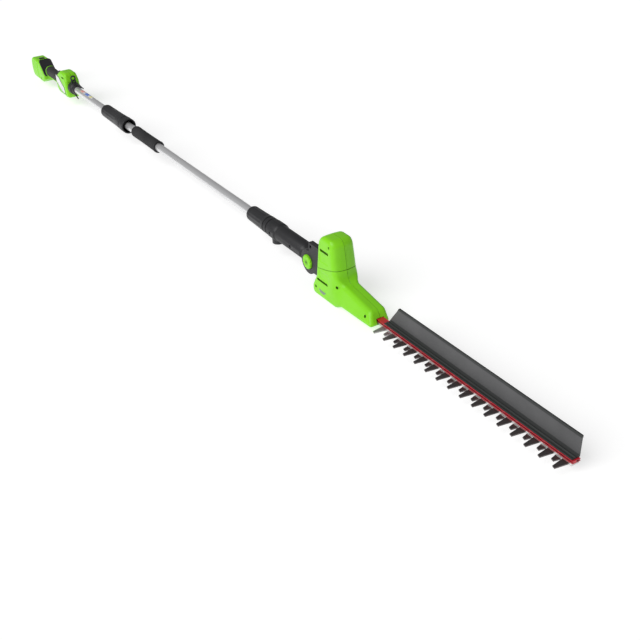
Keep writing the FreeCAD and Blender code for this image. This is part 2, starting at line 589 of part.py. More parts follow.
def blade(name, top, tail_x, tip, first, root_width, count):
    """A flat strip with one tooth patterned along it and a slot at each bolt."""
    low = top + " - blade_thick"
    body = doc.addObject("PartDesign::Body", name + "_strip")
    strip = new_sketch(body, "XY_Plane", low)
    outline(strip, [
        ("pivot_x + " + tail_x, "0 - bar_width/2"), ("pivot_x + first_tooth - pitch/2", "0 - bar_width/2"),
        ("pivot_x + first_tooth - pitch/2", "0 - tooth_root"),
        ("pivot_x + bar_end - blade_end_gap", "0 - tooth_root"),
        ("pivot_x + bar_end - blade_end_gap", "bar_width/2"), ("pivot_x + " + tail_x, "bar_width/2")])
    pad = body.newObject("PartDesign::Pad", name + "_pad")
    pad.Profile = strip
    tie(pad, "Length", "blade_thick")
    profile = new_sketch(body, "XY_Plane", low)
    centre = "pivot_x + " + first
    outline(profile, [
        ("%s - %s/2" % (centre, root_width), "0 - tooth_root + 1"),
        ("%s - %s/2" % (centre, root_width), "0 - tooth_root"),
        ("%s - tip_width/2" % centre, "0 - %s + 1.5" % tip),
        ("%s + tip_width/2" % centre, "0 - " + tip),
        ("%s + %s/2" % (centre, root_width), "0 - tooth_root"),
        ("%s + %s/2" % (centre, root_width), "0 - tooth_root + 1")])
    tooth = body.newObject("PartDesign::Pad", name + "_tooth")
    tooth.Profile = profile
    tie(tooth, "Length", "blade_thick")
    body.Tip = tooth
    doc.recompute()
    row = body.newObject("PartDesign::LinearPattern", name + "_teeth")
    row.Originals = [tooth]
    row.Direction = (strip, ["H_Axis"])
    tie(row, "Length", "pitch*(%s - 1)" % count)
    tie(row, "Occurrences", count)
    body.Tip = row
    doc.recompute()
    slots = []
    for index in range(SIZES["bolt_count"]):
        x = "pivot_x + bolt_first + %d*bolt_step" % index
        slots.append(box("%s_slot_%d" % (name, index),
                         (x + " - stroke_half - bolt_dia/2 - 1", x + " + stroke_half + bolt_dia/2 + 1"),
                         ("0 - bolt_dia/2 - air_gap", "bolt_dia/2 + air_gap"), (low + " - 1", top + " + 1")))
    return keep(cut(name, body, slots), name)


blade("long_tooth_blade", UPPER_TOP, "upper_pin_x - 10", "tooth_tip", "first_tooth", "root_width", "teeth")
blade("short_tooth_blade", LOWER_TOP, "lower_pin_x - 5", "short_tip", "first_tooth + pitch/2", "short_width",
      "teeth - 1")


def blade_link(name, ring_top, pin_x, pin_low):
    """A link plate under the eccentrics, with the pin that drives its blade."""
    low = ring_top + " - link_thick"
    ring = rod(name + "_ring", "Z", (GEAR_X, "0", low), "cam_dia/2 + link_rim", "link_thick")
    arm = box(name + "_arm", (GEAR_X, "pivot_x + %s + link_pin_dia/2 + 2" % pin_x),
              ("0 - link_pin_dia/2 - 2", "link_pin_dia/2 + 2"), (low, ring_top))
    pin = rod(name + "_pin", "Z", ("pivot_x + " + pin_x, "0", pin_low), "link_pin_dia/2",
              "%s - (%s)" % (ring_top, pin_low))
    eye = rod(name + "_eye", "Z", (GEAR_X, "0", low + " - 1"), "cam_dia/2 + air_gap", "link_thick + 2")
    open_ring = cut(name + "_open_ring", fuse(name + "_plate", [ring, arm]), [eye])
    return keep(fuse(name + "_solid", [open_ring, pin]), name)


blade_link("long_blade_link", CAM_LOW + " - link_gap", "upper_pin_x", UPPER_TOP)
blade_link("short_blade_link", CAM_LOW + " - 2*link_gap - link_thick", "lower_pin_x", LOWER_TOP)

bar_block = box("bar_block", ("pivot_x + bar_rear", "pivot_x + bar_end"), ("0 - bar_width/2", "bar_width/2"),
                ("bar_bottom", "bar_bottom + bar_height"))
bar_tools = [
    box("bar_hollow", ("pivot_x + bar_rear - 1", "pivot_x + bar_end + 1"),
        ("0 - bar_width/2 + 2*bar_wall", "bar_width/2 - bar_wall"),
        ("bar_bottom + bar_wall", "bar_bottom + bar_height - bar_wall")),
    box("bar_groove", ("pivot_x + bar_rear - 1", "pivot_x + bar_end + 1"),
        ("0 - bar_width/2 - 1", "0 - bar_width/2 + 1.4"),
        ("bar_bottom + bar_height/2 - groove_height/2", "bar_bottom + bar_height/2 + groove_height/2"))]
BOLTS = ["pivot_x + bolt_first + %d*bolt_step" % k for k in range(SIZES["bolt_count"])]
bar_tools += [rod("bar_hole_%d" % k, "Z", (x, "0", "bar_bottom - 1"), "bolt_dia/2", "bar_wall + 2")
              for k, x in enumerate(BOLTS)]
keep(cut("blade_support_bar", bar_block, bar_tools), "blade_support_bar")
WASHER_LOW = BLADES_LOW + " - blade_gap - washer_thick"
keep(group("blade_washers", [
    cut("washer_%d" % k, rod("washer_disc_%d" % k, "Z", (x, "0", WASHER_LOW), "washer_dia/2", "washer_thick"),
        [rod("washer_hole_%d" % k, "Z", (x, "0", WASHER_LOW + " - 1"), "bolt_dia/2", "washer_thick + 2")])
    for k, x in enumerate(BOLTS)]), "blade_washers")
keep(group("blade_bolts", [
    fuse("bolt_%d" % k, [
        rod("bolt_shank_%d" % k, "Z", (x, "0", WASHER_LOW), "bolt_dia/2",
            "bar_wall + 2*blade_thick + 3*blade_gap + washer_thick"),
        rod("bolt_head_%d" % k, "Z", (x, "0", WASHER_LOW + " - bolt_head"), "bolt_dia*0.85", "bolt_head"),
        rod("bolt_nut_%d" % k, "Z", (x, "0", "bar_bottom + bar_wall"), "bolt_dia*0.85", "bolt_nut")])
    for k, x in enumerate(BOLTS)]), "blade_bolts")

# ---- hedge sweep guard ----------------------------------------------------------------------------
SWEEP_LOW = "bar_bottom + bar_height"
FLANGE_TOP = SWEEP_LOW + " + sweep_flange"
wing = prism("sweep_profile", "YZ_Plane", [
    ("0 - bar_width/2 + 0.5", SWEEP_LOW), ("bar_width/2 + 1.5", SWEEP_LOW),
    ("bar_width/2 + sweep_lean", "sweep_top - sweep_lip"),
    ("bar_width/2 + sweep_lean + 1", "sweep_top - sweep_lip"),
    ("bar_width/2 + sweep_lean + 1", "sweep_top"), ("bar_width/2 + sweep_lean - 3", "sweep_top"),
    ("bar_width/2 + sweep_lean - sweep_thick", "sweep_top - sweep_lip"),
    ("bar_width/2 + 0.8 - sweep_thick", SWEEP_LOW + " + 3"), ("2", FLANGE_TOP), ("0", SWEEP_LOW + " + 5"),
    ("0 - 2", FLANGE_TOP), ("0 - bar_width/2 + 0.5", FLANGE_TOP)],
    "pivot_x + sweep_rear", "pivot_x + sweep_end")
slant = prism("sweep_slant_cut", "XZ_Plane", from_pivot([
    ("sweep_rear - 5", SWEEP_LOW + " + 5.5"), ("sweep_rear + 2", SWEEP_LOW + " + 5.5"),
    ("sweep_rear + sweep_slant", "sweep_top + 5"), ("sweep_rear - 5", "sweep_top + 5")]), "0 - 30", "30")
end_cut = prism("sweep_end_cut", "XZ_Plane", from_pivot([
    ("sweep_end - 5", SWEEP_LOW + " + 5.5"), ("sweep_end + 5", SWEEP_LOW + " + 5.5"),
    ("sweep_end + 5", "sweep_top + 5"), ("sweep_end - 1", "sweep_top + 5")]), "0 - 30", "30")
keep(cut("hedge_sweep", wing, [slant, end_cut]), "hedge_sweep")

# ---- handle -------------------------------------------------------------------------------------
FRONT = [("body_front", "30"), ("body_front - 14", "body_top"), ("body_front - 74", "body_top"),
         ("body_rear", "27"), ("body_rear", "0 - 24"), ("body_rear + 18", "body_bottom"),
         ("body_front - 8", "body_bottom"), ("body_front", "0 - 28")]
FRONT_INWARD = [(-1, -0.6), (-0.6, -1), (0.6, -1), (1, -0.5), (1, 0.5), (0.6, 1), (-0.6, 1), (-1, 0.6)]
BLOCK = [("block_rear", "block_bottom"), ("block_rear + 36", "block_bottom"), ("block_front", "0 - 26"),
         ("block_front", "0 - 16"), ("block_rear + 14", "block_top"), ("block_rear", "block_top")]


TERMINAL = [("block_rear + 0.5", "block_rear + 12"), ("0 - 12", "12"), ("0 - 12", "6")]
HANDLE_SCREWS = [("body_front - 30", "body_half", "body_bottom + 10"),
                 ("body_front - 88", "body_half", "body_top - 20"),
                 ("block_rear + 26", "block_half", "block_bottom + 10")]
TRIGGER_REAR = "trigger_front - trigger_length"
TRIGGER_PIN_X = "trigger_front - trigger_ear/2"
TRIGGER_ROOM = (TRIGGER_REAR + " - 7", "trigger_front + 2")
TRIGGER_SIDES = ("0 - trigger_half - slot_gap", "trigger_half + slot_gap")
LOCK_ROOM = ("lock_x - slot_gap", "lock_x + lock_length + slot_gap")
LOCK_SIDES = ("0 - lock_half - slot_gap", "lock_half + slot_gap")


def handle_half(name, side):
    """One half of the handle: the hood over the pole's end, the grip's core and the rear block."""
    def slab(title, points, half):
        low, high = ("0", half) if side < 0 else ("0 - " + half, "0")
        return prism(name + title, "XZ_Plane", points, low, high)

    front = slab("_front", FRONT, "body_half")
    round_edges(front, "corner_round", lambda edge: runs_along(edge, Y_AXIS))
    round_edges(front, "rim_round", lambda edge: lies_at(edge, Y_AXIS, side * SIZES["body_half"]))
    block = slab("_block", BLOCK, "block_half")
    round_edges(block, "rim_round*0.6", lambda edge: runs_along(edge, Y_AXIS))
    round_edges(block, "rim_round*0.5", lambda edge: lies_at(edge, Y_AXIS, side * SIZES["block_half"]))
    y_range = ("0 - grip_half", "0") if side < 0 else ("0", "grip_half")
    core = box(name + "_core", ("block_front - 10", "body_rear + 10"), y_range, ("grip_bottom", "grip_top"))
    room_low, room_high = "0 - body_half + shell_wall", "1"
    if side < 0:
        room_low, room_high = "0 - 1", "body_half - shell_wall"
    room = prism(name + "_room", "XZ_Plane", inset(FRONT, FRONT_INWARD, "shell_wall"), room_low, room_high)
    tools = [
        room,
        box(name + "_grip_room", ("block_front - 20", "body_rear + 12"),
            ("0 - grip_half + grip_wall", "grip_half - grip_wall"),
            ("grip_bottom + grip_wall", "grip_top - grip_wall")),
        box(name + "_trigger_slot", TRIGGER_ROOM, TRIGGER_SIDES, ("grip_bottom - 5", "grip_bottom + 5")),
        box(name + "_lock_slot", LOCK_ROOM, LOCK_SIDES, ("grip_top - 5", "grip_top + 5")),
        rod(name + "_pin_hole", "Y", (TRIGGER_PIN_X, "0 - grip_half + grip_wall/2", "trigger_pin_z"),
            "trigger_pin_dia/2", "2*grip_half - grip_wall"),
        rod(name + "_pole_hole", "X", ("body_front - 8", "0", "0"), "pole_dia/2", "20"),
        box(name + "_terminal_seat", *TERMINAL)]
    if side < 0:
        for index, (x, half, z) in enumerate(HANDLE_SCREWS):
            tools += screw_hole("%s_bore_%d" % (name, index), x, "0 - " + half, z)
    return keep(cut(name, fuse(name + "_solid", [front, block, core]), tools), name)


handle_half("handle_shell_left", -1)
handle_half("handle_shell_right", 1)
keep(group("handle_screws", [screw("handle_screw_%d" % k, x, "0 - %s + screw_sink" % half, z, "5")
                             for k, (x, half, z) in enumerate(HANDLE_SCREWS)]), "handle_screws")
keep(rod("trigger_pin", "Y", (TRIGGER_PIN_X, "0 - grip_half + grip_wall/2", "trigger_pin_z"),
         "trigger_pin_dia/2", "2*grip_half - grip_wall"), "trigger_pin")


def sleeve():
    """The soft grip moulded over the handle's core."""
    body = prism("grip_outer", "XZ_Plane", [
        ("block_front", "grip_bottom - sleeve_thick"), ("body_rear", "grip_bottom - sleeve_thick"),
        ("body_rear", "grip_top + sleeve_thick"), ("block_front", "grip_top + sleeve_thick")],
        "0 - grip_half - sleeve_thick", "grip_half + sleeve_thick")
    round_edges(body, "rim_round*1.5", lambda edge: runs_along(edge, X_AXIS))
    tools = [
        box("sleeve_core", ("block_front - 5", "body_rear + 1"), ("0 - grip_half", "grip_half"),
            ("grip_bottom", "grip_top")),
        box("sleeve_trigger_slot", TRIGGER_ROOM, TRIGGER_SIDES, ("grip_bottom - 9", "grip_bottom + 5")),
        box("sleeve_lock_slot", LOCK_ROOM, LOCK_SIDES, ("grip_top - 5", "grip_top + 9"))]
    return keep(cut("grip_sleeve", body, tools), "grip_sleeve")


sleeve()
bezel = prism("bezel_slab", "XZ_Plane", [
    ("block_rear + 14", "block_top"), ("block_front", "0 - 16"), ("block_front", "0 - 26"),
    ("block_front + 3", "0 - 26"), ("block_front + 3", "0 - 14"), ("block_rear + 17", "block_top")],
    "0 - block_half + 5", "block_half - 5")
bezel_core = box("bezel_core", ("block_rear", "block_front + 10"),
                 ("0 - grip_half - sleeve_thick", "grip_half + sleeve_thick"),
                 ("grip_bottom - sleeve_thick", "grip_top + sleeve_thick"))
keep(cut("rear_bezel", bezel, [bezel_core]), "rear_bezel")
BADGE_REAR = "body_rear + badge_lead"
badge = prism("badge_plate", "XZ_Plane", [
    (BADGE_REAR, "badge_top"), (BADGE_REAR + " + badge_length*0.55", "badge_top - badge_height*0.2"),
    (BADGE_REAR + " + badge_length", "badge_top - badge_height*0.8"),
    (BADGE_REAR + " + badge_length", "badge_top - badge_height*1.2"),
    (BADGE_REAR + " + badge_length*0.35", "badge_top - badge_height*0.9"),
    (BADGE_REAR, "badge_top - badge_height*0.4")], "body_half", "body_half + badge_thick")
keep(badge, "side_badge")

ring_points = [
    ("body_front", "pole_dia/2"), ("body_front", "neck_ring_dia/2"),
    ("body_front + neck_ring_length*0.6", "neck_ring_dia/2"),
    ("body_front + neck_ring_length", "neck_ring_dia/2 - 7"),
    ("body_front + neck_ring_length", "pole_dia/2")]
ring = turned("pole_ring", "X", ring_points)
eye_lug = [
    box("eye_post", ("body_front + 10", "body_front + 10 + eye_thick"), ("0 - eye_dia/2", "eye_dia/2"),
        ("14", "eye_z")),
    rod("eye_top", "X", ("body_front + 10", "0", "eye_z"), "eye_dia/2", "eye_thick"),
    box("upper_prong", ("body_front + 20", "body_front + neck_ring_length + 50"), ("0 - 5", "5"),
        ("15", "19")),
    box("lower_fin", ("body_front + 16", "body_front + neck_ring_length - 4"), ("0 - 2", "2"),
        ("0 - 33", "0 - 15"))]
eye_hole = [
    rod("eye_hole_top", "X", ("body_front + 9", "0", "eye_z"), "eye_hole/2", "eye_thick + 2"),
    box("eye_hole_slot", ("body_front + 9", "body_front + 11 + eye_thick"), ("0 - eye_hole/2", "eye_hole/2"),
        ("eye_z - 8", "eye_z")),
    rod("ring_bore", "X", ("body_front - 1", "0", "0"), "pole_dia/2", "neck_ring_length + 60")]
keep(cut("pole_collar", fuse("pole_collar_solid", [ring] + eye_lug), eye_hole), "pole_collar")

# ---- trigger, lock-off button and electrics -----------------------------------------------------------
trigger_blade = prism("trigger_blade", "XZ_Plane", [
    (TRIGGER_REAR, "grip_bottom - 2"), ("trigger_front - trigger_ear", "grip_bottom - 2"),
    ("trigger_front - trigger_ear", "trigger_pin_z + 3.5"), ("trigger_front", "trigger_pin_z + 3.5"),
    ("trigger_front", "0 - trigger_drop*0.6"), ("trigger_front - 12", "0 - trigger_drop*0.75"),
    ("trigger_front - 26", "0 - trigger_drop*0.8"), (TRIGGER_REAR + " + 4", "0 - trigger_drop"),
    (TRIGGER_REAR, "0 - trigger_drop + 3")], "0 - trigger_half", "trigger_half")
trigger_bore = rod("trigger_bore", "Y", (TRIGGER_PIN_X, "0 - trigger_half - 1", "trigger_pin_z"),
                   "trigger_pin_dia/2 + fit_gap", "2*trigger_half + 2")
keep(cut("trigger", trigger_blade, [trigger_bore]), "trigger")
lock = box("lock_block", ("lock_x", "lock_x + lock_length"), ("0 - lock_half", "lock_half"),
           ("grip_top - 4.5", "lock_top"))
keep(lock, "lock_off_button")
keep(box("switch_body", ("body_rear + 22", "body_rear + 46"), ("0 - 8", "8"), ("0 - 12", "8")), "switch_body")
board = box("control_board", ("body_rear + 50", "body_front - 22"),
            ("0 - body_half + shell_wall + 1.5", "body_half - shell_wall - 1.5"), ("26", "27.6"))
keep(board, "control_board")

# ---- battery --------------------------------------------------------------------------------------
BATTERY_FRONT = "block_rear - air_gap"


def battery_half(name, z_low, z_high, outside, room_low, room_high):
    """A tray of the battery's case: rounded at the rear and round its outside face, open at the split."""
    shell = prism(name + "_outer", "XY_Plane", [
        ("battery_rear", "0 - block_half"), (BATTERY_FRONT, "0 - block_half"), (BATTERY_FRONT, "block_half"),
        ("battery_rear", "block_half")], z_low, z_high)
    round_edges(shell, "corner_round*0.8",
                lambda edge: runs_along(edge, Z_AXIS) and edge.Vertexes[0].X < SIZES["battery_rear"] + 5)
    round_edges(shell, "rim_round*0.7", lambda edge: lies_at(edge, Z_AXIS, number(outside)))
    room = box(name + "_room", ("battery_rear + battery_wall", BATTERY_FRONT + " - battery_wall"),
               ("0 - block_half + battery_wall", "block_half - battery_wall"), (room_low, room_high))
    return shell, room


case_shell, case_room = battery_half("battery_case", "block_bottom", "battery_split", "block_bottom",
                                     "block_bottom + battery_wall", "battery_split + 1")
keep(cut("battery_case", case_shell, [case_room]), "battery_case")
lid_shell, lid_room = battery_half("battery_lid", "battery_split", "block_top", "block_top",
                                   "battery_split - 1", "block_top - battery_wall")
LATCH_FRONT = BATTERY_FRONT + " - 5"
LATCH_REAR = LATCH_FRONT + " - latch_length"
latch_slot = box("latch_slot", (LATCH_REAR + " - slot_gap", LATCH_FRONT + " + slot_gap"),
                 ("0 - latch_half - slot_gap", "latch_half + slot_gap"), ("block_top - 4", "block_top + 1"))
keep(cut("battery_lid", lid_shell, [lid_room, latch_slot]), "battery_lid")
keep(box("latch_block", (LATCH_REAR, LATCH_FRONT), ("0 - latch_half", "latch_half"),
         ("block_top - latch_sink", "block_top + latch_rise")), "battery_latch")
cells = []
for column in (-1, 1):
    for level in range(3):
        cells.append(rod("cell_%d_%d" % (column + 1, level), "X",
                         ("battery_rear + battery_wall + 4", "%d*(cell_dia + 1)/2" % column,
                          "block_bottom + battery_wall + cell_dia/2 + 1 + %d*(cell_dia + 1)" % level),
                         "cell_dia/2", "cell_length"))
keep(group("battery_cells", cells), "battery_cells")
keep(box("terminal_block", *TERMINAL), "terminal_block")

# ---- check and write ------------------------------------------------------------------------------
doc.recompute()
for thing in doc.Objects:
    if any(state in ("Invalid", "Error") for state in thing.State):
        raise ValueError("%s did not build: %s" % (thing.Name, thing.State))
os.makedirs("parts", exist_ok=True)
for node in nodes:
    if node.Shape.isNull() or not node.Shape.isValid():
        raise ValueError("%s has no valid shape" % node.Label)
    node.Shape.exportStep("parts/%s.step" % node.Label)
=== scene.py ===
# %% [markdown]
# # A pole hedge trimmer
# This lesson builds the looks of a battery pole hedge trimmer: a green gear head with a toothed blade,
# a long aluminium pole in two sections, and a rear handle with a battery.
# The mechanical model already exists, so the first step loads it as a fixed frame. Its pieces are never
# moved: each one either gets a better finish, or a finer surface is made in its place.

# %% Load the frame
import json
from functools import partial

import bmesh
import bpy
import numpy as np
from mathutils import Euler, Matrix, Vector


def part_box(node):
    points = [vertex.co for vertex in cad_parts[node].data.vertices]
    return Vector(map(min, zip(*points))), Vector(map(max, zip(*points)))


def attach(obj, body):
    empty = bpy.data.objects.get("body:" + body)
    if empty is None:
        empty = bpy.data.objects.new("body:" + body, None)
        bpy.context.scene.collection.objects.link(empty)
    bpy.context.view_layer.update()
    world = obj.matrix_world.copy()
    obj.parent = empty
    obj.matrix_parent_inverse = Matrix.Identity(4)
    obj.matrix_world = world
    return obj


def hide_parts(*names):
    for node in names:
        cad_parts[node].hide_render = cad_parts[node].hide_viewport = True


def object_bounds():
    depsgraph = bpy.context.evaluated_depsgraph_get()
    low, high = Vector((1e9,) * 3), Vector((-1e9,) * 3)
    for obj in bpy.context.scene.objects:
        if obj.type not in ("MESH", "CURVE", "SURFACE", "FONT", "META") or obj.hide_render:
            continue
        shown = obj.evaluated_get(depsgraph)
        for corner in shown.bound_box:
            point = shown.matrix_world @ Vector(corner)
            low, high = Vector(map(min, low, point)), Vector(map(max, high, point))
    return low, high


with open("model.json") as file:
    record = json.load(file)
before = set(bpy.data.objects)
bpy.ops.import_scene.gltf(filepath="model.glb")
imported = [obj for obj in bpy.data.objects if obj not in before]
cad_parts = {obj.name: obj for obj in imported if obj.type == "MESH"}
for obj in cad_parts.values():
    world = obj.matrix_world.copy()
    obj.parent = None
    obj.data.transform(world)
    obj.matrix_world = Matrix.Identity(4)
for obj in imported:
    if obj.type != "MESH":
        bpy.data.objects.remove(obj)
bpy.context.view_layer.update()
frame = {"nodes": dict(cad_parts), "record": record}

MM = 0.001
PIVOT_X = (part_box("tilt_spindle")[0].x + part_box("tilt_spindle")[1].x) / 2 / MM
NODE_BODY = {node: body for body, members in frame["record"]["behaviour"]["bodies"].items()
             for node in members}
NODE_SLOT = {part["node"]: part["material_slot"] for part in frame["record"]["subparts"]}

# %% [markdown]
# ## Camera, floor and light
# The tool lies along X. The camera stands in front of the blade tip, above it and on the -Y side, and looks
# back along the pole, so the head is large and the battery is small. A plain pale floor carries the tool.
# The light is soft: one wide sun from the -Y side, which makes those faces the brightest, and an even sky.
# Several small lamps could do the same, but one sun lights the whole length of the tool evenly.

# %% Camera
def point_camera(place, turn_degrees, lens):
    """A camera at a place in metres, turned by Euler angles about X, Y and Z."""
    data = bpy.data.cameras.new("camera")
    data.lens = lens
    data.sensor_width = 36.0
    camera = bpy.data.objects.new("camera", data)
    camera.location = place
    camera.rotation_euler = Euler(np.radians(turn_degrees))
    bpy.context.scene.collection.objects.link(camera)
    bpy.context.scene.camera = camera
    return camera


camera = point_camera((2.1997, -0.8962, 0.9216), (59.653, 3.305, 58.961), 54.56)
print("camera lens %.1f mm" % camera.data.lens)

# %% Floor
FLOOR_SIZE = 40.0
FLOOR_GAP = 0.0005
floor_mesh = bpy.data.meshes.new("floor")
corner = FLOOR_SIZE / 2
floor_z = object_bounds()[0].z - FLOOR_GAP
floor_mesh.from_pydata([(-corner, -corner, floor_z), (corner, -corner, floor_z), (corner, corner, floor_z),
                        (-corner, corner, floor_z)], [], [(0, 1, 2, 3)])
floor = bpy.data.objects.new("floor", floor_mesh)
bpy.context.scene.collection.objects.link(floor)

# %% Light
SKY_STRENGTH = 0.25
SUN_STRENGTH = 2.6
SUN_ANGLE = 0.9
SUN_FROM = (0.1, -0.75, 0.65)
world = bpy.data.worlds.new("studio")
world.use_nodes = True
world.node_tree.nodes["Background"].inputs["Color"].default_value = (1.0, 1.0, 1.0, 1.0)
world.node_tree.nodes["Background"].inputs["Strength"].default_value = SKY_STRENGTH
bpy.context.scene.world = world
sun_data = bpy.data.lights.new("left_softbox", "SUN")
sun_data.energy = SUN_STRENGTH
sun_data.angle = SUN_ANGLE
sun = bpy.data.objects.new("left_softbox", sun_data)
sun.rotation_mode = "QUATERNION"
sun.rotation_quaternion = Vector(SUN_FROM).to_track_quat("Z", "Y")
bpy.context.scene.collection.objects.link(sun)
bpy.context.scene.view_settings.view_transform = "Standard"

# %% [markdown]
# ## Finishes
# Every finish is worked out by nodes, from the place of each point on the object, so it never slides. A
# painted picture could do it too, but it would need an unwrapped surface for each piece.
# Effects that several finishes share are node groups with named inputs: a moulded grain, brushing along
# the tubes, foam cells, painted shade for grooves and holes (and a badge's dark rim), and a stretch of
# another colour.

# %% Node group helpers
def new_group(name, inputs, outputs):
    """A shader node group with float sockets; returns it with its input and output nodes."""
    group = bpy.data.node_groups.new(name, "ShaderNodeTree")
    for title, value in inputs:
        socket = group.interface.new_socket(title, in_out="INPUT", socket_type="NodeSocketFloat")
        socket.default_value = value
    for title in outputs:
        group.interface.new_socket(title, in_out="OUTPUT", socket_type="NodeSocketFloat")
    return group, group.nodes.new("NodeGroupInput"), group.nodes.new("NodeGroupOutput")


def joined_math(tree, operation, first, second):
    """A math node fed by two sockets or numbers."""
    node = tree.nodes.new("ShaderNodeMath")
    node.operation = operation
    for place, value in enumerate((first, second)):
        if isinstance(value, (int, float)):
            node.inputs[place].default_value = value
        else:
            tree.links.new(value, node.inputs[place])
    return node.outputs[0]


def noise(tree, scale, stretch=(1, 1, 1), detail=2.0):
    """Noise on object coordinates; scale is a socket or a number, stretch is the share of each axis."""
    coordinate = tree.nodes.new("ShaderNodeTexCoord")
    mapping = tree.nodes.new("ShaderNodeMapping")
    mapping.inputs["Scale"].default_value = stretch
    texture = tree.nodes.new("ShaderNodeTexNoise")
    texture.inputs["Detail"].default_value = detail
    if isinstance(scale, (int, float)):
        texture.inputs["Scale"].default_value = scale
    else:
        tree.links.new(scale, texture.inputs["Scale"])
    tree.links.new(coordinate.outputs["Object"], mapping.inputs["Vector"])
    tree.links.new(mapping.outputs["Vector"], texture.inputs["Vector"])
    return texture.outputs["Fac"]


# %% Moulded grain, brushing and handling tone
def make_grain_group():
    """Fine noise for the height of a moulded skin, and slow noise for its tone."""
    group, entry, leave = new_group("moulded_grain", [("Scale", 900.0), ("Tone Scale", 14.0)],
                                    ["Height", "Tone"])
    group.links.new(noise(group, entry.outputs["Scale"], detail=3.0), leave.inputs["Height"])
    group.links.new(noise(group, entry.outputs["Tone Scale"], detail=4.0), leave.inputs["Tone"])
    return group


def make_brush_group():
    """Noise drawn out along X: the fine lines that drawing or grinding leaves."""
    group, entry, leave = new_group("long_brushing", [("Scale", 900.0), ("Tone Scale", 9.0)],
                                    ["Height", "Tone"])
    group.links.new(noise(group, entry.outputs["Scale"], (0.02, 1, 1), 2.0), leave.inputs["Height"])
    group.links.new(noise(group, entry.outputs["Tone Scale"], (0.6, 4, 4), 3.0), leave.inputs["Tone"])
    return group


def make_foam_group():
    """Round cells, as closed-cell foam has: the distance to scattered points is the height of each cell."""
    group, entry, leave = new_group("foam_cells", [("Scale", 700.0), ("Tone Scale", 30.0)],
                                    ["Height", "Tone"])
    coordinate = group.nodes.new("ShaderNodeTexCoord")
    cells = group.nodes.new("ShaderNodeTexVoronoi")
    group.links.new(coordinate.outputs["Object"], cells.inputs["Vector"])
    group.links.new(entry.outputs["Scale"], cells.inputs["Scale"])
    group.links.new(cells.outputs["Distance"], leave.inputs["Height"])
    group.links.new(noise(group, entry.outputs["Tone Scale"], detail=3.0), leave.inputs["Tone"])
    return group


def make_recess_group():
    """Painted shade for grooves and holes, and a badge's dark rim: the mesh's own 'recess' mark times Depth.
    """
    group, entry, leave = new_group("recess_shade", [("Depth", 0.85)], ["Shade"])
    mark = group.nodes.new("ShaderNodeAttribute")
    mark.attribute_name = "recess"
    group.links.new(joined_math(group, "MULTIPLY", mark.outputs["Fac"], entry.outputs["Depth"]),
                    leave.inputs["Shade"])
    return group


def make_stretch_group():
    """A mask along X or Y: 0 below Start, 1 above End, eased between, all in metres of the object."""
    group, entry, leave = new_group("stretch_mask", [("Along X", 1.0), ("Along Y", 0.0), ("Start", 0.0),
                                                     ("End", 1.0), ("Amount", 1.0)], ["Share", "Rest"])
    coordinate = group.nodes.new("ShaderNodeTexCoord")
    split = group.nodes.new("ShaderNodeSeparateXYZ")
    group.links.new(coordinate.outputs["Object"], split.inputs["Vector"])
    along, across = (joined_math(group, "MULTIPLY", split.outputs[axis], entry.outputs["Along " + axis])
                     for axis in ("X", "Y"))
    place = joined_math(group, "ADD", along, across)
    rise = group.nodes.new("ShaderNodeMapRange")
    rise.interpolation_type = "SMOOTHSTEP"
    group.links.new(place, rise.inputs["Value"])
    group.links.new(entry.outputs["Start"], rise.inputs["From Min"])
    group.links.new(entry.outputs["End"], rise.inputs["From Max"])
    for title, share in (("Share", rise.outputs["Result"]),
                         ("Rest", joined_math(group, "SUBTRACT", 1.0, rise.outputs["Result"]))):
        group.links.new(joined_math(group, "MULTIPLY", share, entry.outputs["Amount"]), leave.inputs[title])
    return group


EFFECTS = {"grain": make_grain_group(), "brush": make_brush_group(), "foam": make_foam_group()}
RECESS = make_recess_group()
STRETCH = make_stretch_group()
print("shared effects:", sorted(EFFECTS), "recess and stretch")

# %% The finish maker
NOISE_LOW, NOISE_HIGH = 0.3, 0.7
BUMP_HEIGHT = 0.0002
COAT_ROUGHNESS = 0.15
METAL_SPECULAR, PLASTIC_SPECULAR = 0.5, 0.28


def mixed(tree, share, first, second):
    """A colour mix; each colour is a socket or four numbers."""
    node = tree.nodes.new("ShaderNodeMix")
    node.data_type = "RGBA"
    tree.links.new(share, node.inputs["Factor"])
    for title, value in (("A", first), ("B", second)):
        socket = [s for s in node.inputs if s.name == title and s.type == "RGBA"][0]
        if isinstance(value, tuple):
            socket.default_value = value
        else:
            tree.links.new(value, socket)
    return [s for s in node.outputs if s.type == "RGBA"][0]


def spread(tree, value, low, high):
    """Maps the middle of a noise in a straight line to the range low to high."""
    node = tree.nodes.new("ShaderNodeMapRange")
    node.inputs["From Min"].default_value = NOISE_LOW
    node.inputs["From Max"].default_value = NOISE_HIGH
    node.inputs["To Min"].default_value = low
    node.inputs["To Max"].default_value = high
    tree.links.new(value, node.inputs["Value"])
    return node.outputs["Result"]


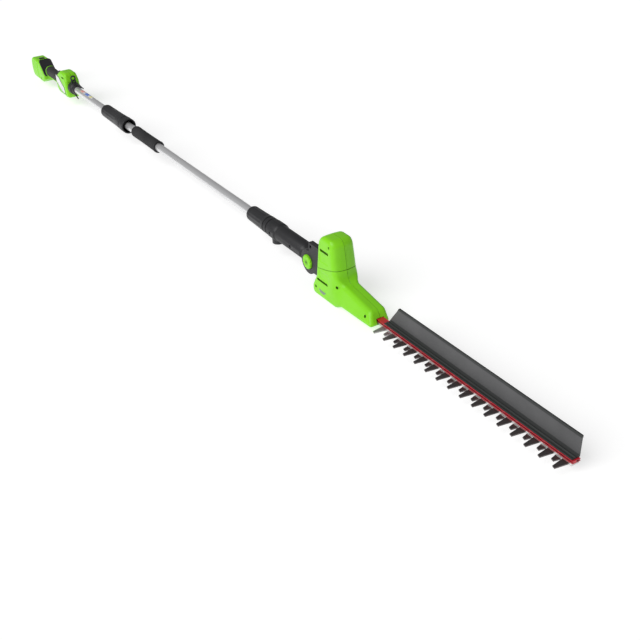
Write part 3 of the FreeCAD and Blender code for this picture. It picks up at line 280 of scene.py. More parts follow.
def make_finish(name, light, dark, deep, rough, metallic=0.0, effect="grain", scale=900.0, tone_scale=14.0,
                bump=0.1, coat=0.0):
    """A material: tone runs between two colours, the 'recess' mark paints groove and hole shade (and a
    badge's dark rim) in a third, roughness follows the tone.
    """
    material = bpy.data.materials.new(name)
    material.use_nodes = True
    tree = material.node_tree
    shader = tree.nodes["Principled BSDF"]
    shader.inputs["Metallic"].default_value = metallic
    shader.inputs["Specular IOR Level"].default_value = METAL_SPECULAR if metallic else PLASTIC_SPECULAR
    shader.inputs["Coat Weight"].default_value = coat
    shader.inputs["Coat Roughness"].default_value = COAT_ROUGHNESS
    surface = tree.nodes.new("ShaderNodeGroup")
    surface.node_tree = EFFECTS[effect]
    surface.inputs["Scale"].default_value = scale
    surface.inputs["Tone Scale"].default_value = tone_scale
    shade = tree.nodes.new("ShaderNodeGroup")
    shade.node_tree = RECESS
    skin = mixed(tree, spread(tree, surface.outputs["Tone"], 0.0, 1.0), light + (1.0,), dark + (1.0,))
    tree.links.new(mixed(tree, shade.outputs["Shade"], skin, deep + (1.0,)), shader.inputs["Base Color"])
    tree.links.new(spread(tree, surface.outputs["Tone"], rough[0], rough[1]), shader.inputs["Roughness"])
    bumper = tree.nodes.new("ShaderNodeBump")
    bumper.inputs["Strength"].default_value = bump
    bumper.inputs["Distance"].default_value = BUMP_HEIGHT
    tree.links.new(surface.outputs["Height"], bumper.inputs["Height"])
    tree.links.new(bumper.outputs["Normal"], shader.inputs["Normal"])
    return material


# %% [markdown]
# ### The finishes of this tool
# Each row gives two tones that drift into each other, the colour of the painted shade in its grooves and
# holes (on the badge, its dark rim) and its range of roughness.
# Moulded plastics are fine-grained and a little dull, the tubes and the bar are drawn and so brushed along
# their length, and the blades are ground steel. One function makes metals and plastics alike, so the rules
# that they share are written once.

# %% Finishes
FINISH = {
    "dark_steel": make_finish("blackened_screw", (0.012, 0.012, 0.012), (0.008, 0.008, 0.008),
                              (0.002, 0.002, 0.002), (0.5, 0.6)),
    "band_print": make_finish("band_print", (0.72, 0.72, 0.73), (0.66, 0.66, 0.67), (0.1, 0.1, 0.1),
                              (0.3, 0.4), bump=0.05),
    "mark_grey": make_finish("mark_grey", (0.20, 0.26, 0.20), (0.16, 0.21, 0.16), (0.05, 0.06, 0.05),
                             (0.3, 0.4)),
    "sweep_plastic": make_finish("sweep_plastic", (0.098, 0.098, 0.100), (0.080, 0.080, 0.082),
                                 (0.006, 0.009, 0.007), (0.4, 0.55), scale=700.0, bump=0.35),
    "green_shell": make_finish("lime_shell", (0.225, 0.66, 0.012), (0.20, 0.61, 0.010), (0.006, 0.016, 0.002),
                               (0.34, 0.46), bump=0.25, coat=0.04),
    "dark_plastic": make_finish("charcoal_plastic", (0.026, 0.026, 0.028), (0.018, 0.018, 0.020),
                                (0.004, 0.004, 0.004), (0.38, 0.52), bump=0.4),
    "overmould": make_finish("grip_rubber", (0.030, 0.030, 0.031), (0.021, 0.021, 0.022),
                             (0.004, 0.004, 0.004), (0.55, 0.7), scale=1400.0, bump=0.5),
    "foam": make_finish("grip_foam", (0.030, 0.030, 0.031), (0.020, 0.020, 0.021), (0.006, 0.006, 0.006),
                        (0.85, 0.95), effect="foam", bump=1.0),
    "tube": make_finish("satin_aluminium", (0.78, 0.78, 0.79), (0.70, 0.70, 0.71), (0.05, 0.05, 0.05),
                        (0.26, 0.36), metallic=0.7, effect="brush", bump=0.15),
    "bar_red": make_finish("anodised_red", (0.60, 0.012, 0.03), (0.52, 0.010, 0.025), (0.03, 0.002, 0.003),
                           (0.28, 0.4), metallic=0.2, effect="brush", coat=0.3),
    "blade_steel": make_finish("ground_blade_steel_root_highlight", (0.17, 0.15, 0.15), (0.11, 0.10, 0.10),
                               (0.02, 0.02, 0.02), (0.32, 0.5), metallic=0.9, effect="brush", bump=0.3),
    "steel": make_finish("bright_steel", (0.60, 0.60, 0.61), (0.50, 0.50, 0.51), (0.05, 0.05, 0.05),
                         (0.25, 0.4), metallic=1.0, effect="brush", bump=0.2),
    "gear_steel": make_finish("oiled_gear_steel", (0.30, 0.29, 0.28), (0.22, 0.21, 0.20), (0.03, 0.03, 0.03),
                              (0.3, 0.45), metallic=1.0, bump=0.2),
    "cast_plate": make_finish("cast_aluminium", (0.55, 0.55, 0.55), (0.45, 0.45, 0.45), (0.05, 0.05, 0.05),
                              (0.45, 0.6), metallic=1.0, scale=400.0, bump=0.6),
    "cell_wrap": make_finish("cell_sleeve", (0.05, 0.20, 0.45), (0.04, 0.16, 0.38), (0.01, 0.02, 0.05),
                             (0.25, 0.35)),
    "cable_skin": make_finish("cable_rubber", (0.02, 0.02, 0.02), (0.014, 0.014, 0.014),
                              (0.003, 0.003, 0.003), (0.5, 0.6), bump=0.2),
    "badge": make_finish("badge_plate", (0.72, 0.73, 0.74), (0.62, 0.63, 0.64), (0.02, 0.02, 0.02),
                         (0.25, 0.35), coat=0.3),
    "board": make_finish("solder_mask", (0.01, 0.20, 0.07), (0.008, 0.16, 0.05), (0.003, 0.03, 0.01),
                         (0.3, 0.4)),
}
FLOOR_FINISH = make_finish("pale_floor", (0.50, 0.50, 0.50), (0.48, 0.48, 0.48), (0.4, 0.4, 0.4), (0.8, 0.9),
                           scale=200.0, tone_scale=1.5, bump=0.0)
FLOOR_GLOW = 0.64
floor.data.materials.append(FLOOR_FINISH)
floor_shader = FLOOR_FINISH.node_tree.nodes["Principled BSDF"]
floor_shader.inputs["Emission Color"].default_value = (1.0, 1.0, 1.0, 1.0)
floor_shader.inputs["Emission Strength"].default_value = FLOOR_GLOW
for node, piece in frame["nodes"].items():
    piece.data.materials.clear()
    piece.data.materials.append(FINISH[NODE_SLOT[node]])
print("%d finishes made" % len(FINISH))

# %% [markdown]
# ### Stretches of another colour
# The rear tube carries a printed band of plain colours. On the blades, a bright line along the roots of the
# teeth is a painted highlight, and the teeth nearest to the head are made lighter. Separate pieces would
# leave steps, so the shared mask mixes a second colour over the finish, between two places along X or Y.

# %% Printed band, a painted highlight along the blade roots, and lighter teeth by the head
def overlay(material, colour, start, end, side="Share", amount=1.0, across=False):
    """Mixes a colour over a finish where the mask passes start (side Share) or has not reached it (Rest)."""
    tree = material.node_tree
    mask = tree.nodes.new("ShaderNodeGroup")
    mask.node_tree = STRETCH
    for title, value in (("Along X", 0.0 if across else 1.0), ("Along Y", 1.0 if across else 0.0),
                         ("Start", start), ("End", end), ("Amount", amount)):
        mask.inputs[title].default_value = value
    base = tree.nodes["Principled BSDF"].inputs["Base Color"]
    before = base.links[0].from_socket
    tree.links.new(mixed(tree, mask.outputs[side], before, colour + (1.0,)), base)


BAND_COLOURS = [(-0.910, (0.75, 0.34, 0.30)), (-0.885, (0.62, 0.62, 0.66)), (-0.868, (0.12, 0.22, 0.62)),
                (-0.838, (0.66, 0.66, 0.68)), (-0.824, (0.78, 0.72, 0.20)), (-0.812, (0.70, 0.70, 0.70))]
BAND_EASE = 0.002
ROOT_HIGHLIGHT = (-0.0105, -0.0101)
HEAD_TEETH = (0.865, 0.905)
for start, colour in BAND_COLOURS:
    overlay(FINISH["band_print"], colour, start, start + BAND_EASE)
# A painted highlight: a bright line along the roots of the teeth.
overlay(FINISH["blade_steel"], (0.75, 0.74, 0.73), *ROOT_HIGHLIGHT, amount=0.85, across=True)
overlay(FINISH["blade_steel"], (0.62, 0.60, 0.60), *HEAD_TEETH, side="Rest", amount=0.7)
print("%d stretches painted" % (len(BAND_COLOURS) + 2))

# %% [markdown]
# ## From surfaces to pieces
# A moulded shell is easiest to describe as numbers: an outline, how wide it is at each point, and how its
# edge turns over. Each recipe below works out whole arrays of points, and one small class collects them,
# welds the seams, turns the faces outwards and hands back a finished object.

# %% A collector for surfaces
WELD = 0.004 * MM
SHARP_DEGREES = 32.0


class Surface:
    """Points, faces and the 'recess' mark of one piece, in millimetres until it is built."""

    def __init__(self):
        self.points = []
        self.faces = []
        self.marks = []
        self.total = 0

    def add(self, points, faces, mark=0.0):
        """Takes an array of points, and faces that count from its own first point."""
        points = np.asarray(points, dtype=float).reshape(-1, 3)
        self.faces += (np.asarray(faces) + self.total).tolist()
        self.points.append(points)
        self.marks.append(np.broadcast_to(np.asarray(mark, dtype=float).reshape(-1), (len(points),)))
        self.total += len(points)

    def add_grid(self, grid, closed_u=False, closed_v=False, mark=0.0, keep=None):
        """Squares between the points of a grid; keep(centres) picks the squares that stay.

        closed_u joins the last row to the first, and closed_v the last column to the first.
        """
        rows, columns = grid.shape[:2]
        index = np.arange(rows * columns).reshape(rows, columns)
        if closed_u:
            index = np.vstack([index, index[:1]])
        if closed_v:
            index = np.hstack([index, index[:, :1]])
        faces = np.stack([index[:-1, :-1], index[1:, :-1], index[1:, 1:], index[:-1, 1:]], axis=-1)
        faces = faces.reshape(-1, 4)
        if keep is not None:
            faces = faces[keep(grid.reshape(-1, 3)[faces].mean(axis=1))]
        self.add(grid, faces, mark)

    def cap(self, ring, mark=0.0):
        """One flat face that closes a ring of points."""
        self.add(ring, [range(len(ring))], mark)

    def build(self, name, slot, body, node=None, outward=None, wall=0.0):
        """Makes the object: welds, orients, shades, then gives it its slot's finish, sets its body and hides
        the node it stands for.
        """
        mesh = bpy.data.meshes.new(name)
        points = np.concatenate(self.points) * MM
        mesh.from_pydata(points.tolist(), [], self.faces)
        mark = mesh.attributes.new("recess", "FLOAT", "POINT")
        mark.data.foreach_set("value", np.concatenate(self.marks).astype(np.float32))
        shape = bmesh.new()
        shape.from_mesh(mesh)
        bmesh.ops.remove_doubles(shape, verts=shape.verts, dist=WELD)
        bmesh.ops.dissolve_degenerate(shape, edges=shape.edges, dist=WELD)
        bmesh.ops.recalc_face_normals(shape, faces=shape.faces)
        facing = shape.calc_volume(signed=True)
        if outward is not None:
            facing = sum(face.normal.dot(outward) * face.calc_area() for face in shape.faces)
        if facing < 0:
            bmesh.ops.reverse_faces(shape, faces=shape.faces)
        shape.to_mesh(mesh)
        shape.free()
        mesh.shade_smooth()
        mesh.set_sharp_from_angle(angle=np.radians(SHARP_DEGREES))
        mesh.materials.append(FINISH[slot])
        piece = bpy.data.objects.new(name, mesh)
        bpy.context.scene.collection.objects.link(piece)
        if wall:
            solid = piece.modifiers.new("wall", "SOLIDIFY")
            solid.thickness = wall * MM
            solid.offset = -1.0
        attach(piece, body)
        if node:
            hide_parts(node)
        return piece


# %% [markdown]
# ### Outlines and filled sides
# A moulding's outline is straight runs and round corners, so a short list of corners with radii describes
# it. A side with holes and steps has no simple grid: its rim, holes and creases are given to Blender's own
# triangulator, and even rows of points between them let the side follow a curved width.

# %% Rounded outlines
def outline_loop(corners, inset=0.0, step=1.2):
    """A closed loop from corners (x, z, radius): straight runs joined by tangent arcs, moved in by inset.

    A convex radius shrinks and a hollow one grows as the loop moves in, and the number of points on each
    run and arc depends only on the corners, so loops at different insets match point by point.
    """
    table = np.array(corners, dtype=float)
    spots, radii = table[:, :2], table[:, 2]
    ahead = np.roll(spots, -1, axis=0) - spots
    turn = np.sign(np.sum(spots[:, 0] * np.roll(spots[:, 1], -1) - np.roll(spots[:, 0], -1) * spots[:, 1]))
    lengths = np.linalg.norm(ahead, axis=1)
    leave = ahead / lengths[:, None]
    arrive = np.roll(leave, 1, axis=0)
    inward = turn * np.stack([-leave[:, 1], leave[:, 0]], axis=1)
    inward_before = np.roll(inward, 1, axis=0)
    hollow = np.where(turn * (arrive[:, 0] * leave[:, 1] - arrive[:, 1] * leave[:, 0]) > 0, 1.0, -1.0)
    angle = np.arccos(np.clip(np.sum(arrive * leave, axis=1), -1, 1))
    moved = spots + inset * (inward + inward_before) / (1 + np.sum(inward * inward_before, axis=1))[:, None]
    bent = np.where(hollow > 0, np.maximum(radii - inset, 0.2), radii + inset)
    reach = bent * np.tan(angle / 2)
    first_reach = radii * np.tan(angle / 2)
    parts = []
    for place in range(len(spots)):
        follower = (place + 1) % len(spots)
        start = moved[place] - arrive[place] * reach[place]
        centre = start + hollow[place] * inward_before[place] * bent[place]
        sweep = np.linspace(0, angle[place], max(4, int(np.ceil(radii[place] * angle[place] / step)) + 1))
        swing = sweep * turn * hollow[place]
        arm = start - centre
        parts.append(centre + np.stack([arm[0] * np.cos(swing) - arm[1] * np.sin(swing),
                                        arm[0] * np.sin(swing) + arm[1] * np.cos(swing)], axis=1))
        run_start = moved[place] + leave[place] * reach[place]
        run_end = moved[follower] - leave[place] * reach[follower]
        run = lengths[place] - first_reach[place] - first_reach[follower]
        share = np.linspace(0, 1, max(2, int(np.ceil(run / step))) + 1)[1:-1, None]
        parts.append(run_start + (run_end - run_start) * share)
    return np.concatenate(parts)


def inside(points, loop):
    """True for each point that lies inside the loop: it counts the loop's crossings of a ray along +X."""
    x, z = points[:, 0][:, None], points[:, 1][:, None]
    x0, z0 = loop[:, 0][None], loop[:, 1][None]
    x1, z1 = np.roll(loop[:, 0], -1)[None], np.roll(loop[:, 1], -1)[None]
    spans = (z0 > z) != (z1 > z)
    rise = np.where(z1 == z0, 1e-12, z1 - z0)
    return (np.sum(spans & (x < (x1 - x0) * (z - z0) / rise + x0), axis=1) % 2) == 1


# %% Filled faces with holes, steps and creases
from mathutils.geometry import delaunay_2d_cdt

INSIDE_LOOPS, MERGE_GAP = 1, 1e-6
ROW_SHARE, CLEAR_SHARE = 0.866, 0.6


def filled_face(ring, holes=(), steps=(), lines=(), spacing=3.0):
    """Triangles that fill a ring, with holes left open; returns flat points, triangles and each depth.

    holes are loops, steps are (loop, depth) and lines are (points, depth). Even rows of points lie between
    them, so a curved width has enough points to follow.
    """
    flat, depths, edges = [], [], []

    def take(points, depth, closed):
        """Keeps a run of points with their depth, and the edges that join each point to the next."""
        index = sum(len(block) for block in flat) + np.arange(len(points))
        flat.append(points)
        depths.append(np.full(len(points), depth))
        pairs = np.stack([index, np.roll(index, -1)], axis=1)
        edges.extend(map(tuple, (pairs if closed else pairs[:-1]).tolist()))

    take(ring, 0.0, True)
    for loop in holes:
        take(loop, 0.0, True)
    for loop, depth in steps:
        take(loop, depth, True)
    for points, depth in lines:
        take(points, depth, False)
    known = np.concatenate(flat)
    low, high = ring.min(axis=0), ring.max(axis=0)
    columns, rows = np.meshgrid(np.arange(low[0], high[0], spacing),
                                np.arange(low[1], high[1], spacing * ROW_SHARE))
    columns = columns + (np.arange(len(columns)) % 2)[:, None] * spacing / 2
    seeds = np.stack([columns.ravel(), rows.ravel()], axis=1)
    seeds = seeds[inside(seeds, ring)]
    nearest = np.sqrt(((seeds[:, None] - known[None]) ** 2).sum(axis=-1)).min(axis=1)
    seeds = seeds[nearest > CLEAR_SHARE * spacing]
    seed_depth = np.zeros(len(seeds))
    for loop, depth in steps:
        seed_depth = np.where(inside(seeds, loop), depth, seed_depth)
    everything = np.concatenate([known, seeds])
    depth = np.concatenate(depths + [seed_depth])
    result = delaunay_2d_cdt([Vector(spot) for spot in everything.tolist()], edges, [],
                             INSIDE_LOOPS, MERGE_GAP)
    points, triangles = np.array(result[0]), np.array(result[2])
    point_depth = np.array([depth[sources[0]] if sources else 0.0 for sources in result[3]])
    for loop in holes:
        triangles = triangles[~inside(points[triangles].mean(axis=1), loop)]
    return points, triangles, point_depth


# %% Half shells
PARTING_CHAMFER = 0.5
LEAST_LIP = 2.0
WALL_ROWS, EDGE_ROWS = 5, 6
GROOVE_SINK = 0.8
HOLE_DEPTH = 3.0
# Painted shade, as 'recess' marks: along the parting line, in the grooves, and down the walls and floors of
# holes.
PARTING_SHADE, GROOVE_SHADE, HOLE_SHADES = 0.75, 0.9, (0.0, 0.7, 1.0)


def half_shell(surface, corners, half_width, side, edge, lip=LEAST_LIP, holes=(), steps=(), lines=(),
               groove=(), keep=None):
    """One half of a moulded shell that parts at y = 0.

    The wall rises from the outline to the half width less the edge radius, a quarter circle turns it over,
    and a filled face closes the side. half_width is a function of x and z. groove lists the points of the
    loop that sink all the way from the parting line to the side.
    """
    def ring(inset):
        """The outline moved in by an inset, with its groove points sunk deeper."""
        loop = outline_loop(corners, inset)
        for index in groove:
            loop[index] = outline_loop(corners, inset + GROOVE_SINK)[index]
        return loop

    outer = ring(0.0)
    width = half_width(outer[:, 0], outer[:, 1])
    rows = [(ring(PARTING_CHAMFER), np.zeros(len(outer))),
            (outer, np.full(len(outer), PARTING_CHAMFER + 0.1))]
    for share in np.linspace(0, 1, WALL_ROWS):
        rows.append((outer, lip + (width - edge - lip) * share))
    for turn_share in np.linspace(0, np.pi / 2, EDGE_ROWS)[1:]:
        loop = ring(edge * (1 - np.cos(turn_share)))
        rows.append((loop, half_width(loop[:, 0], loop[:, 1]) - edge + edge * np.sin(turn_share)))
    grid = np.stack([np.stack([loop[:, 0], side * level, loop[:, 1]], axis=1) for loop, level in rows])
    mark = np.zeros(grid.shape[:2])
    mark[0] = PARTING_SHADE
    mark[:, list(groove)] = GROOVE_SHADE
    surface.add_grid(grid, closed_v=True, mark=mark, keep=keep)
    last = rows[-1][0]
    points, triangles, depth = filled_face(last, holes, steps, lines)
    levels = half_width(points[:, 0], points[:, 1]) - depth
    shade = np.where(depth >= GROOVE_SINK, GROOVE_SHADE, 0.0)
    for spot in last[list(groove)]:
        shade = np.where(np.linalg.norm(points - spot, axis=1) < 0.01, GROOVE_SHADE, shade)
    surface.add(np.stack([points[:, 0], side * levels, points[:, 1]], axis=1), triangles, shade)
    for loop in holes:
        top = half_width(loop[:, 0], loop[:, 1])
        rings = np.stack([np.stack([loop[:, 0], side * (top - drop), loop[:, 1]], axis=1)
                          for drop in (0.0, 0.3, HOLE_DEPTH)])
        surface.add_grid(rings, closed_v=True, mark=np.repeat(np.transpose([HOLE_SHADES]), len(loop), axis=1))
        surface.cap(rings[2], HOLE_SHADES[2])


def circle(centre, radius, count=24):
    """Points at a radius round a centre, by cosine and sine."""
    angle = np.linspace(0, 2 * np.pi, count, endpoint=False)
    return np.stack([centre[0] + radius * np.cos(angle), centre[1] + radius * np.sin(angle)], axis=1)


def slot_loop(x0, x1, z, height):
    """A slot with round ends from x0 to x1."""
    half, rounding = height / 2, height * 0.45
    return outline_loop([(x0, z - half, rounding), (x1, z - half, rounding), (x1, z + half, rounding),
                         (x0, z + half, rounding)], step=1.5)


# %% [markdown]
# ## The gear head
# The head is two green mouldings that meet on the middle plane: an upright tower over the motor and a
# tapering nose that holds the cutting bar. The tower is as wide as the motor needs. The nose is narrower at
# its top than at its foot, so its side is a wide slanting facet. Both come from one outline and one width.

# %% Head outline and width
HEAD_CORNERS = [(53, 85, 24), (110, 85, 18), (121, -3, 18), (226, -20, 13), (241, -49, 5), (130, -51.5, 10),
                (108, -62, 7), (20, -62, 11), (20, -41, 9), (38, -12, 22), (46, 32, 30)]
HEAD_EDGE = 8.0
TOWER_HALF, TOWER_TOP, TOWER_TAPER = 28.8, 85.0, 2.5
NOSE_TOP_HALF, NOSE_FOOT = 18.6, -49.0
NOSE_FLARE, RIGHT_FLARE_LOST = 10, 8
MOUTH_REAR, MOUTH_HALF, MOUTH_TOP, MOUTH_LOW = 226.0, 9.4, -34.9, -47.0


def ease(value):
    """A smooth step: 0 below 0, 1 above 1, and 3v^2 - 2v^3 between."""
    value = np.clip(value, 0, 1)
    return value * value * (3 - 2 * value)


def head_width(x, z, side=-1):
    """The tower narrows towards its top; the nose widens from its top edge to its foot; they blend.

    The -Y side flares out over the teeth all the way to the tip, and the +Y side hardly does.
    """
    along = x - PIVOT_X
    tower = TOWER_HALF - TOWER_TAPER * np.clip(z / TOWER_TOP, 0, 1) ** 1.5
    top = -4 - 18 * np.clip((along - 121) / 121, 0, 1)
    flare = NOSE_FLARE if side < 0 else NOSE_FLARE - RIGHT_FLARE_LOST * ease((along - 130) / 80)
    nose = NOSE_TOP_HALF + flare * np.clip((top - z) / (top - NOSE_FOOT), 0, 1)
    share = ease((along - 100) / 34) * ease((14 - z) / 24)
    return tower * (1 - share) + nose * share


def from_pivot(points):
    """Adds the tilt pivot's x to the first number of each row."""
    return [(x + PIVOT_X,) + tuple(rest) for x, *rest in points]


head_corners = from_pivot(HEAD_CORNERS)
head_loop = outline_loop(head_corners)
SEAM_FRONT, SEAM_REAR, TOWER_MIDDLE = 22.0, 9.0, 80.0
HEAD_RECESSES = from_pivot([(97, 70), (116, -12), (215, -33), (36, -41)])
RECESS_RADIUS = 3.3


def seam_index(level, front):
    """The loop's point nearest to a height, on the tower's front or on its rear."""
    middle = PIVOT_X + TOWER_MIDDLE
    gap = np.abs(head_loop[:, 1] - level)
    wrong = head_loop[:, 0] < middle if front else head_loop[:, 0] > middle
    return int(np.argmin(np.where(wrong, 1e9, gap)))


front_seam, rear_seam = seam_index(SEAM_FRONT, True), seam_index(SEAM_REAR, False)
head_ring = outline_loop(head_corners, HEAD_EDGE)


def seam_line(offset, depth):
    """A line over the side from the rear seam point to the front one; offset picks the point beside it."""
    start, end = head_ring[rear_seam + offset], head_ring[front_seam - offset]
    if depth:
        deeper = outline_loop(head_corners, HEAD_EDGE + GROOVE_SINK)
        start, end = deeper[rear_seam], deeper[front_seam]
    share = np.linspace(0, 1, 32)[1:-1, None]
    return start + (end - start) * share, depth


PANEL_DEPTH, PANEL_SLOPE = 0.7, 1.2


def panel_steps(x0, x1, z0, z1):
    """Two loops, one inside the other: the side steps down by the panel's depth between them."""
    placed = from_pivot([(x0, z0, 4), (x1, z0, 4), (x1, z1, 4), (x0, z1, 4)])
    return [(outline_loop(placed, 0.0, 2.5), 0.0), (outline_loop(placed, PANEL_SLOPE, 2.5), PANEL_DEPTH)]


seam_lines = [seam_line(-1, 0.0), seam_line(0, GROOVE_SINK), seam_line(1, 0.0)]
vents = [slot_loop(PIVOT_X + 60, PIVOT_X + 94, 53, 6.0), slot_loop(PIVOT_X + 43, PIVOT_X + 85, -19.5, 5.6)]
panels = panel_steps(58, 93, 26, 47) + panel_steps(53, 90, -14, 5)


def outside_mouth(centres):
    """Leaves the bar's mouth open in the end of the nose."""
    end = (centres[:, 0] > PIVOT_X + MOUTH_REAR) & (centres[:, 2] > MOUTH_LOW)
    return ~(end & (np.abs(centres[:, 1]) < MOUTH_HALF) & (centres[:, 2] < MOUTH_TOP))


HEAD_BOW, ROOF_BOW = 8.0, 2.0
HEAD_WALL = 2.2


def bowed(points):
    """The tower's front and roof are domed: they fall back with the square of y."""
    side_share = (points[:, 1] / TOWER_HALF) ** 2
    front = ease((points[:, 0] - PIVOT_X - 84) / 30) * ease((points[:, 2] + 4) / 22)
    roof = ease((points[:, 2] - 50) / 32)
    moved = points.copy()
    moved[:, 0] -= HEAD_BOW * side_share * front
    moved[:, 2] -= ROOF_BOW * side_share * roof
    return moved


# %% Head half shells
for side, half_name in ((-1, "head_shell_left"), (1, "head_shell_right")):
    shell = Surface()
    recesses = [circle(spot, RECESS_RADIUS) for spot in HEAD_RECESSES] if side < 0 else []
    half_shell(shell, head_corners, partial(head_width, side=side), side, HEAD_EDGE, lip=MOUTH_HALF,
               holes=vents + recesses, steps=panels, lines=seam_lines, groove=(front_seam, rear_seam),
               keep=outside_mouth)
    shell.points = [bowed(block) for block in shell.points]
    made = shell.build(half_name + "_skin", "green_shell", NODE_BODY[half_name], half_name,
                       outward=Vector((0, side, 0)), wall=HEAD_WALL)
    print(made.name, len(made.data.vertices), "points")


# %% [markdown]
# ### Screws
# Blackened screws sit deep in round recesses. A screw head is turned about Y from a few rings, and its
# socket is a hexagon: a circle whose radius is divided by the cosine of the angle to the nearest flat.

# %% Screws in their recesses
SCREW_ROWS = [(1.3, 0.0, 1), (1.3, 1.15, 1), (0.0, 1.25, 1), (0.0, 2.2, 0), (0.4, 2.6, 0), (2.2, 2.6, 0),
              (2.2, 0.0, 0)]
# Painted shade for each row: full in the hexagonal socket, a little on its rim.
SCREW_SHADES = [1.0, 1.0, 0.3, 0.0, 0.0, 0.0, 0.0]
SOCKET_SHARE = 0.93
SCREW_SINK = 2.0


def screw_rows(surface, x, face, z, side=-1, count=24):
    """A screw head turned about Y: (depth, radius, hexagonal) rows, its socket a hexagon by 1 / cos."""
    angle = np.linspace(0, 2 * np.pi, count, endpoint=False)
    flat = SOCKET_SHARE / np.cos((angle % (np.pi / 3)) - np.pi / 6)
    rows = [np.stack([x + radius * np.where(hexagonal, flat, 1.0) * np.cos(angle),
                      np.full(count, side * (face - depth)),
                      z + radius * np.where(hexagonal, flat, 1.0) * np.sin(angle)], axis=1)
            for depth, radius, hexagonal in SCREW_ROWS]
    mark = np.repeat(np.transpose([SCREW_SHADES]), count, axis=1)
    surface.add_grid(np.stack(rows), closed_v=True, mark=mark)


def build_screws(name, places, body, node):
    """Screws at rows of (x, z, width of the moulding), all sunk by the same depth."""
    screws = Surface()
    for x, z, width in places:
        screw_rows(screws, x, float(width) - SCREW_SINK, z)
    screws.build(name, "dark_steel", body, node)
    print(name, len(places))


build_screws("head_screws_dark", [(x, z, head_width(x, z)) for x, z in HEAD_RECESSES], "head", "head_screws")

# %% [markdown]
# ## Turned pieces
# The pole, its couplings and the foam grip are all round about X. Each is a profile of rounded corners,
# turned once round; a coupling's finger flutes are a small cosine of the angle taken off the radius. A Screw
# modifier could turn the profile too, but it could not cut the flutes.

# %% The lathe
def turned(surface, corners, step=1.2, count=72, flutes=0, flute_depth=0.0, flute_from=0.0, flute_to=0.0,
           dark=()):
    """Turns a closed profile of corners (x, radius, rounding) about X; dark lists the x ranges of grooves
    that get painted shade.
    """
    profile = outline_loop(corners, 0.0, step)
    angle = np.linspace(0, 2 * np.pi, count, endpoint=False)
    outer = profile[:, 1] > 0.5 * (profile[:, 1].max() + profile[:, 1].min())
    window = ease((profile[:, 0] - flute_from) / 6) * ease((flute_to - profile[:, 0]) / 6) * outer
    flute = (0.5 + 0.5 * np.cos(flutes * angle))[None]
    radius = profile[:, 1][:, None] - flute_depth * window[:, None] * flute
    grid = np.stack([np.repeat(profile[:, :1], count, axis=1), radius * np.cos(angle),
                     radius * np.sin(angle)], axis=-1)
    shade = np.zeros(len(profile))
    for low, high in dark:
        shade = np.where((profile[:, 0] > low) & (profile[:, 0] < high) & outer, 0.9, shade)
    surface.add_grid(grid, closed_u=True, closed_v=True, mark=np.repeat(shade[:, None], count, axis=1))


def ends(node):
    """Where a node starts and ends along X, and its largest radius, in millimetres."""
    low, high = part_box(node)
    return low.x / MM, high.x / MM, high.y / MM


POLE_RADIUS = ends("front_pole_tube")[2]
POLE_WALL = 1.2
RUNNING_GAP = 0.4
SLEEVE_GAP = 0.05
SOCKET_RADIUS = ends("neck_socket")[2] + RUNNING_GAP

# %% Pole tubes
for node in ("rear_pole_tube", "front_pole_tube"):
    start, end, radius = ends(node)
    pole = Surface()
    turned(pole, [(start, radius - POLE_WALL, 0.3), (start, radius, 0.3), (end, radius, 0.3),
                  (end, radius - POLE_WALL, 0.3)], step=30.0, count=96)
    pole.build(node + "_fine", "tube", NODE_BODY[node], node)

# %% Twist collar
start, end, radius = ends("twist_collar")
collar = Surface()
turned(collar, [(start, POLE_RADIUS + RUNNING_GAP, 0.4), (start, 15.5, 1.5), (start + 5, 19.6, 4),
                (end - 62, 21.0, 30), (end - 36, 21.8, 2), (end - 34, 20.6, 0.8), (end - 30, 20.6, 0.8),
                (end - 28.5, radius, 1.5), (end - 1, radius, 2.5), (end, 19, 0.6),
                (end - 58, SOCKET_RADIUS, 2), (start + 8, SOCKET_RADIUS, 0.5),
                (start + 8, POLE_RADIUS + RUNNING_GAP, 0.5)], flutes=14, flute_depth=0.9,
       flute_from=start + 14, flute_to=end - 70, dark=[(end - 34.5, end - 29.5)])
collar.build("twist_collar_fine", "dark_plastic", NODE_BODY["twist_collar"], "twist_collar")

# %% Front coupler nut
start, end, radius = ends("front_coupler_nut")
nut = Surface()
turned(nut, [(start, POLE_RADIUS + RUNNING_GAP, 0.4), (start, 14, 2), (start + 6, 18.3, 5),
             (end - 32, 20.0, 20), (end - 26, radius, 2), (end - 24, radius, 0.3), (end - 23.2, 19, 0.3),
             (end - 20.8, 19, 0.3),
             (end - 20, radius, 0.3), (end - 9, radius, 0.3), (end - 8.2, 19, 0.3), (end - 5.8, 19, 0.3),
             (end - 5, radius, 0.3), (end, radius, 0.8), (end, SOCKET_RADIUS, 0.5),
             (start + 12, SOCKET_RADIUS, 0.5), (start + 12, POLE_RADIUS + RUNNING_GAP, 0.5)],
       flutes=14, flute_depth=0.8, flute_from=start + 12, flute_to=end - 30,
       dark=[(end - 23.8, end - 20.2), (end - 8.8, end - 5.2)])
nut.build("front_coupler_nut_fine", "dark_plastic", NODE_BODY["front_coupler_nut"], "front_coupler_nut")

# %% [markdown]
# ## The foam grip
# A sleeve of closed-cell foam is slid on the pole. It is soft, so it has no sharp edge: its ends roll over,
# and hands have pressed it a little thinner in the middle. Cloth simulation would find nothing to sag on a
# tight sleeve, so it is turned like the pole. Its cells are in the finish.

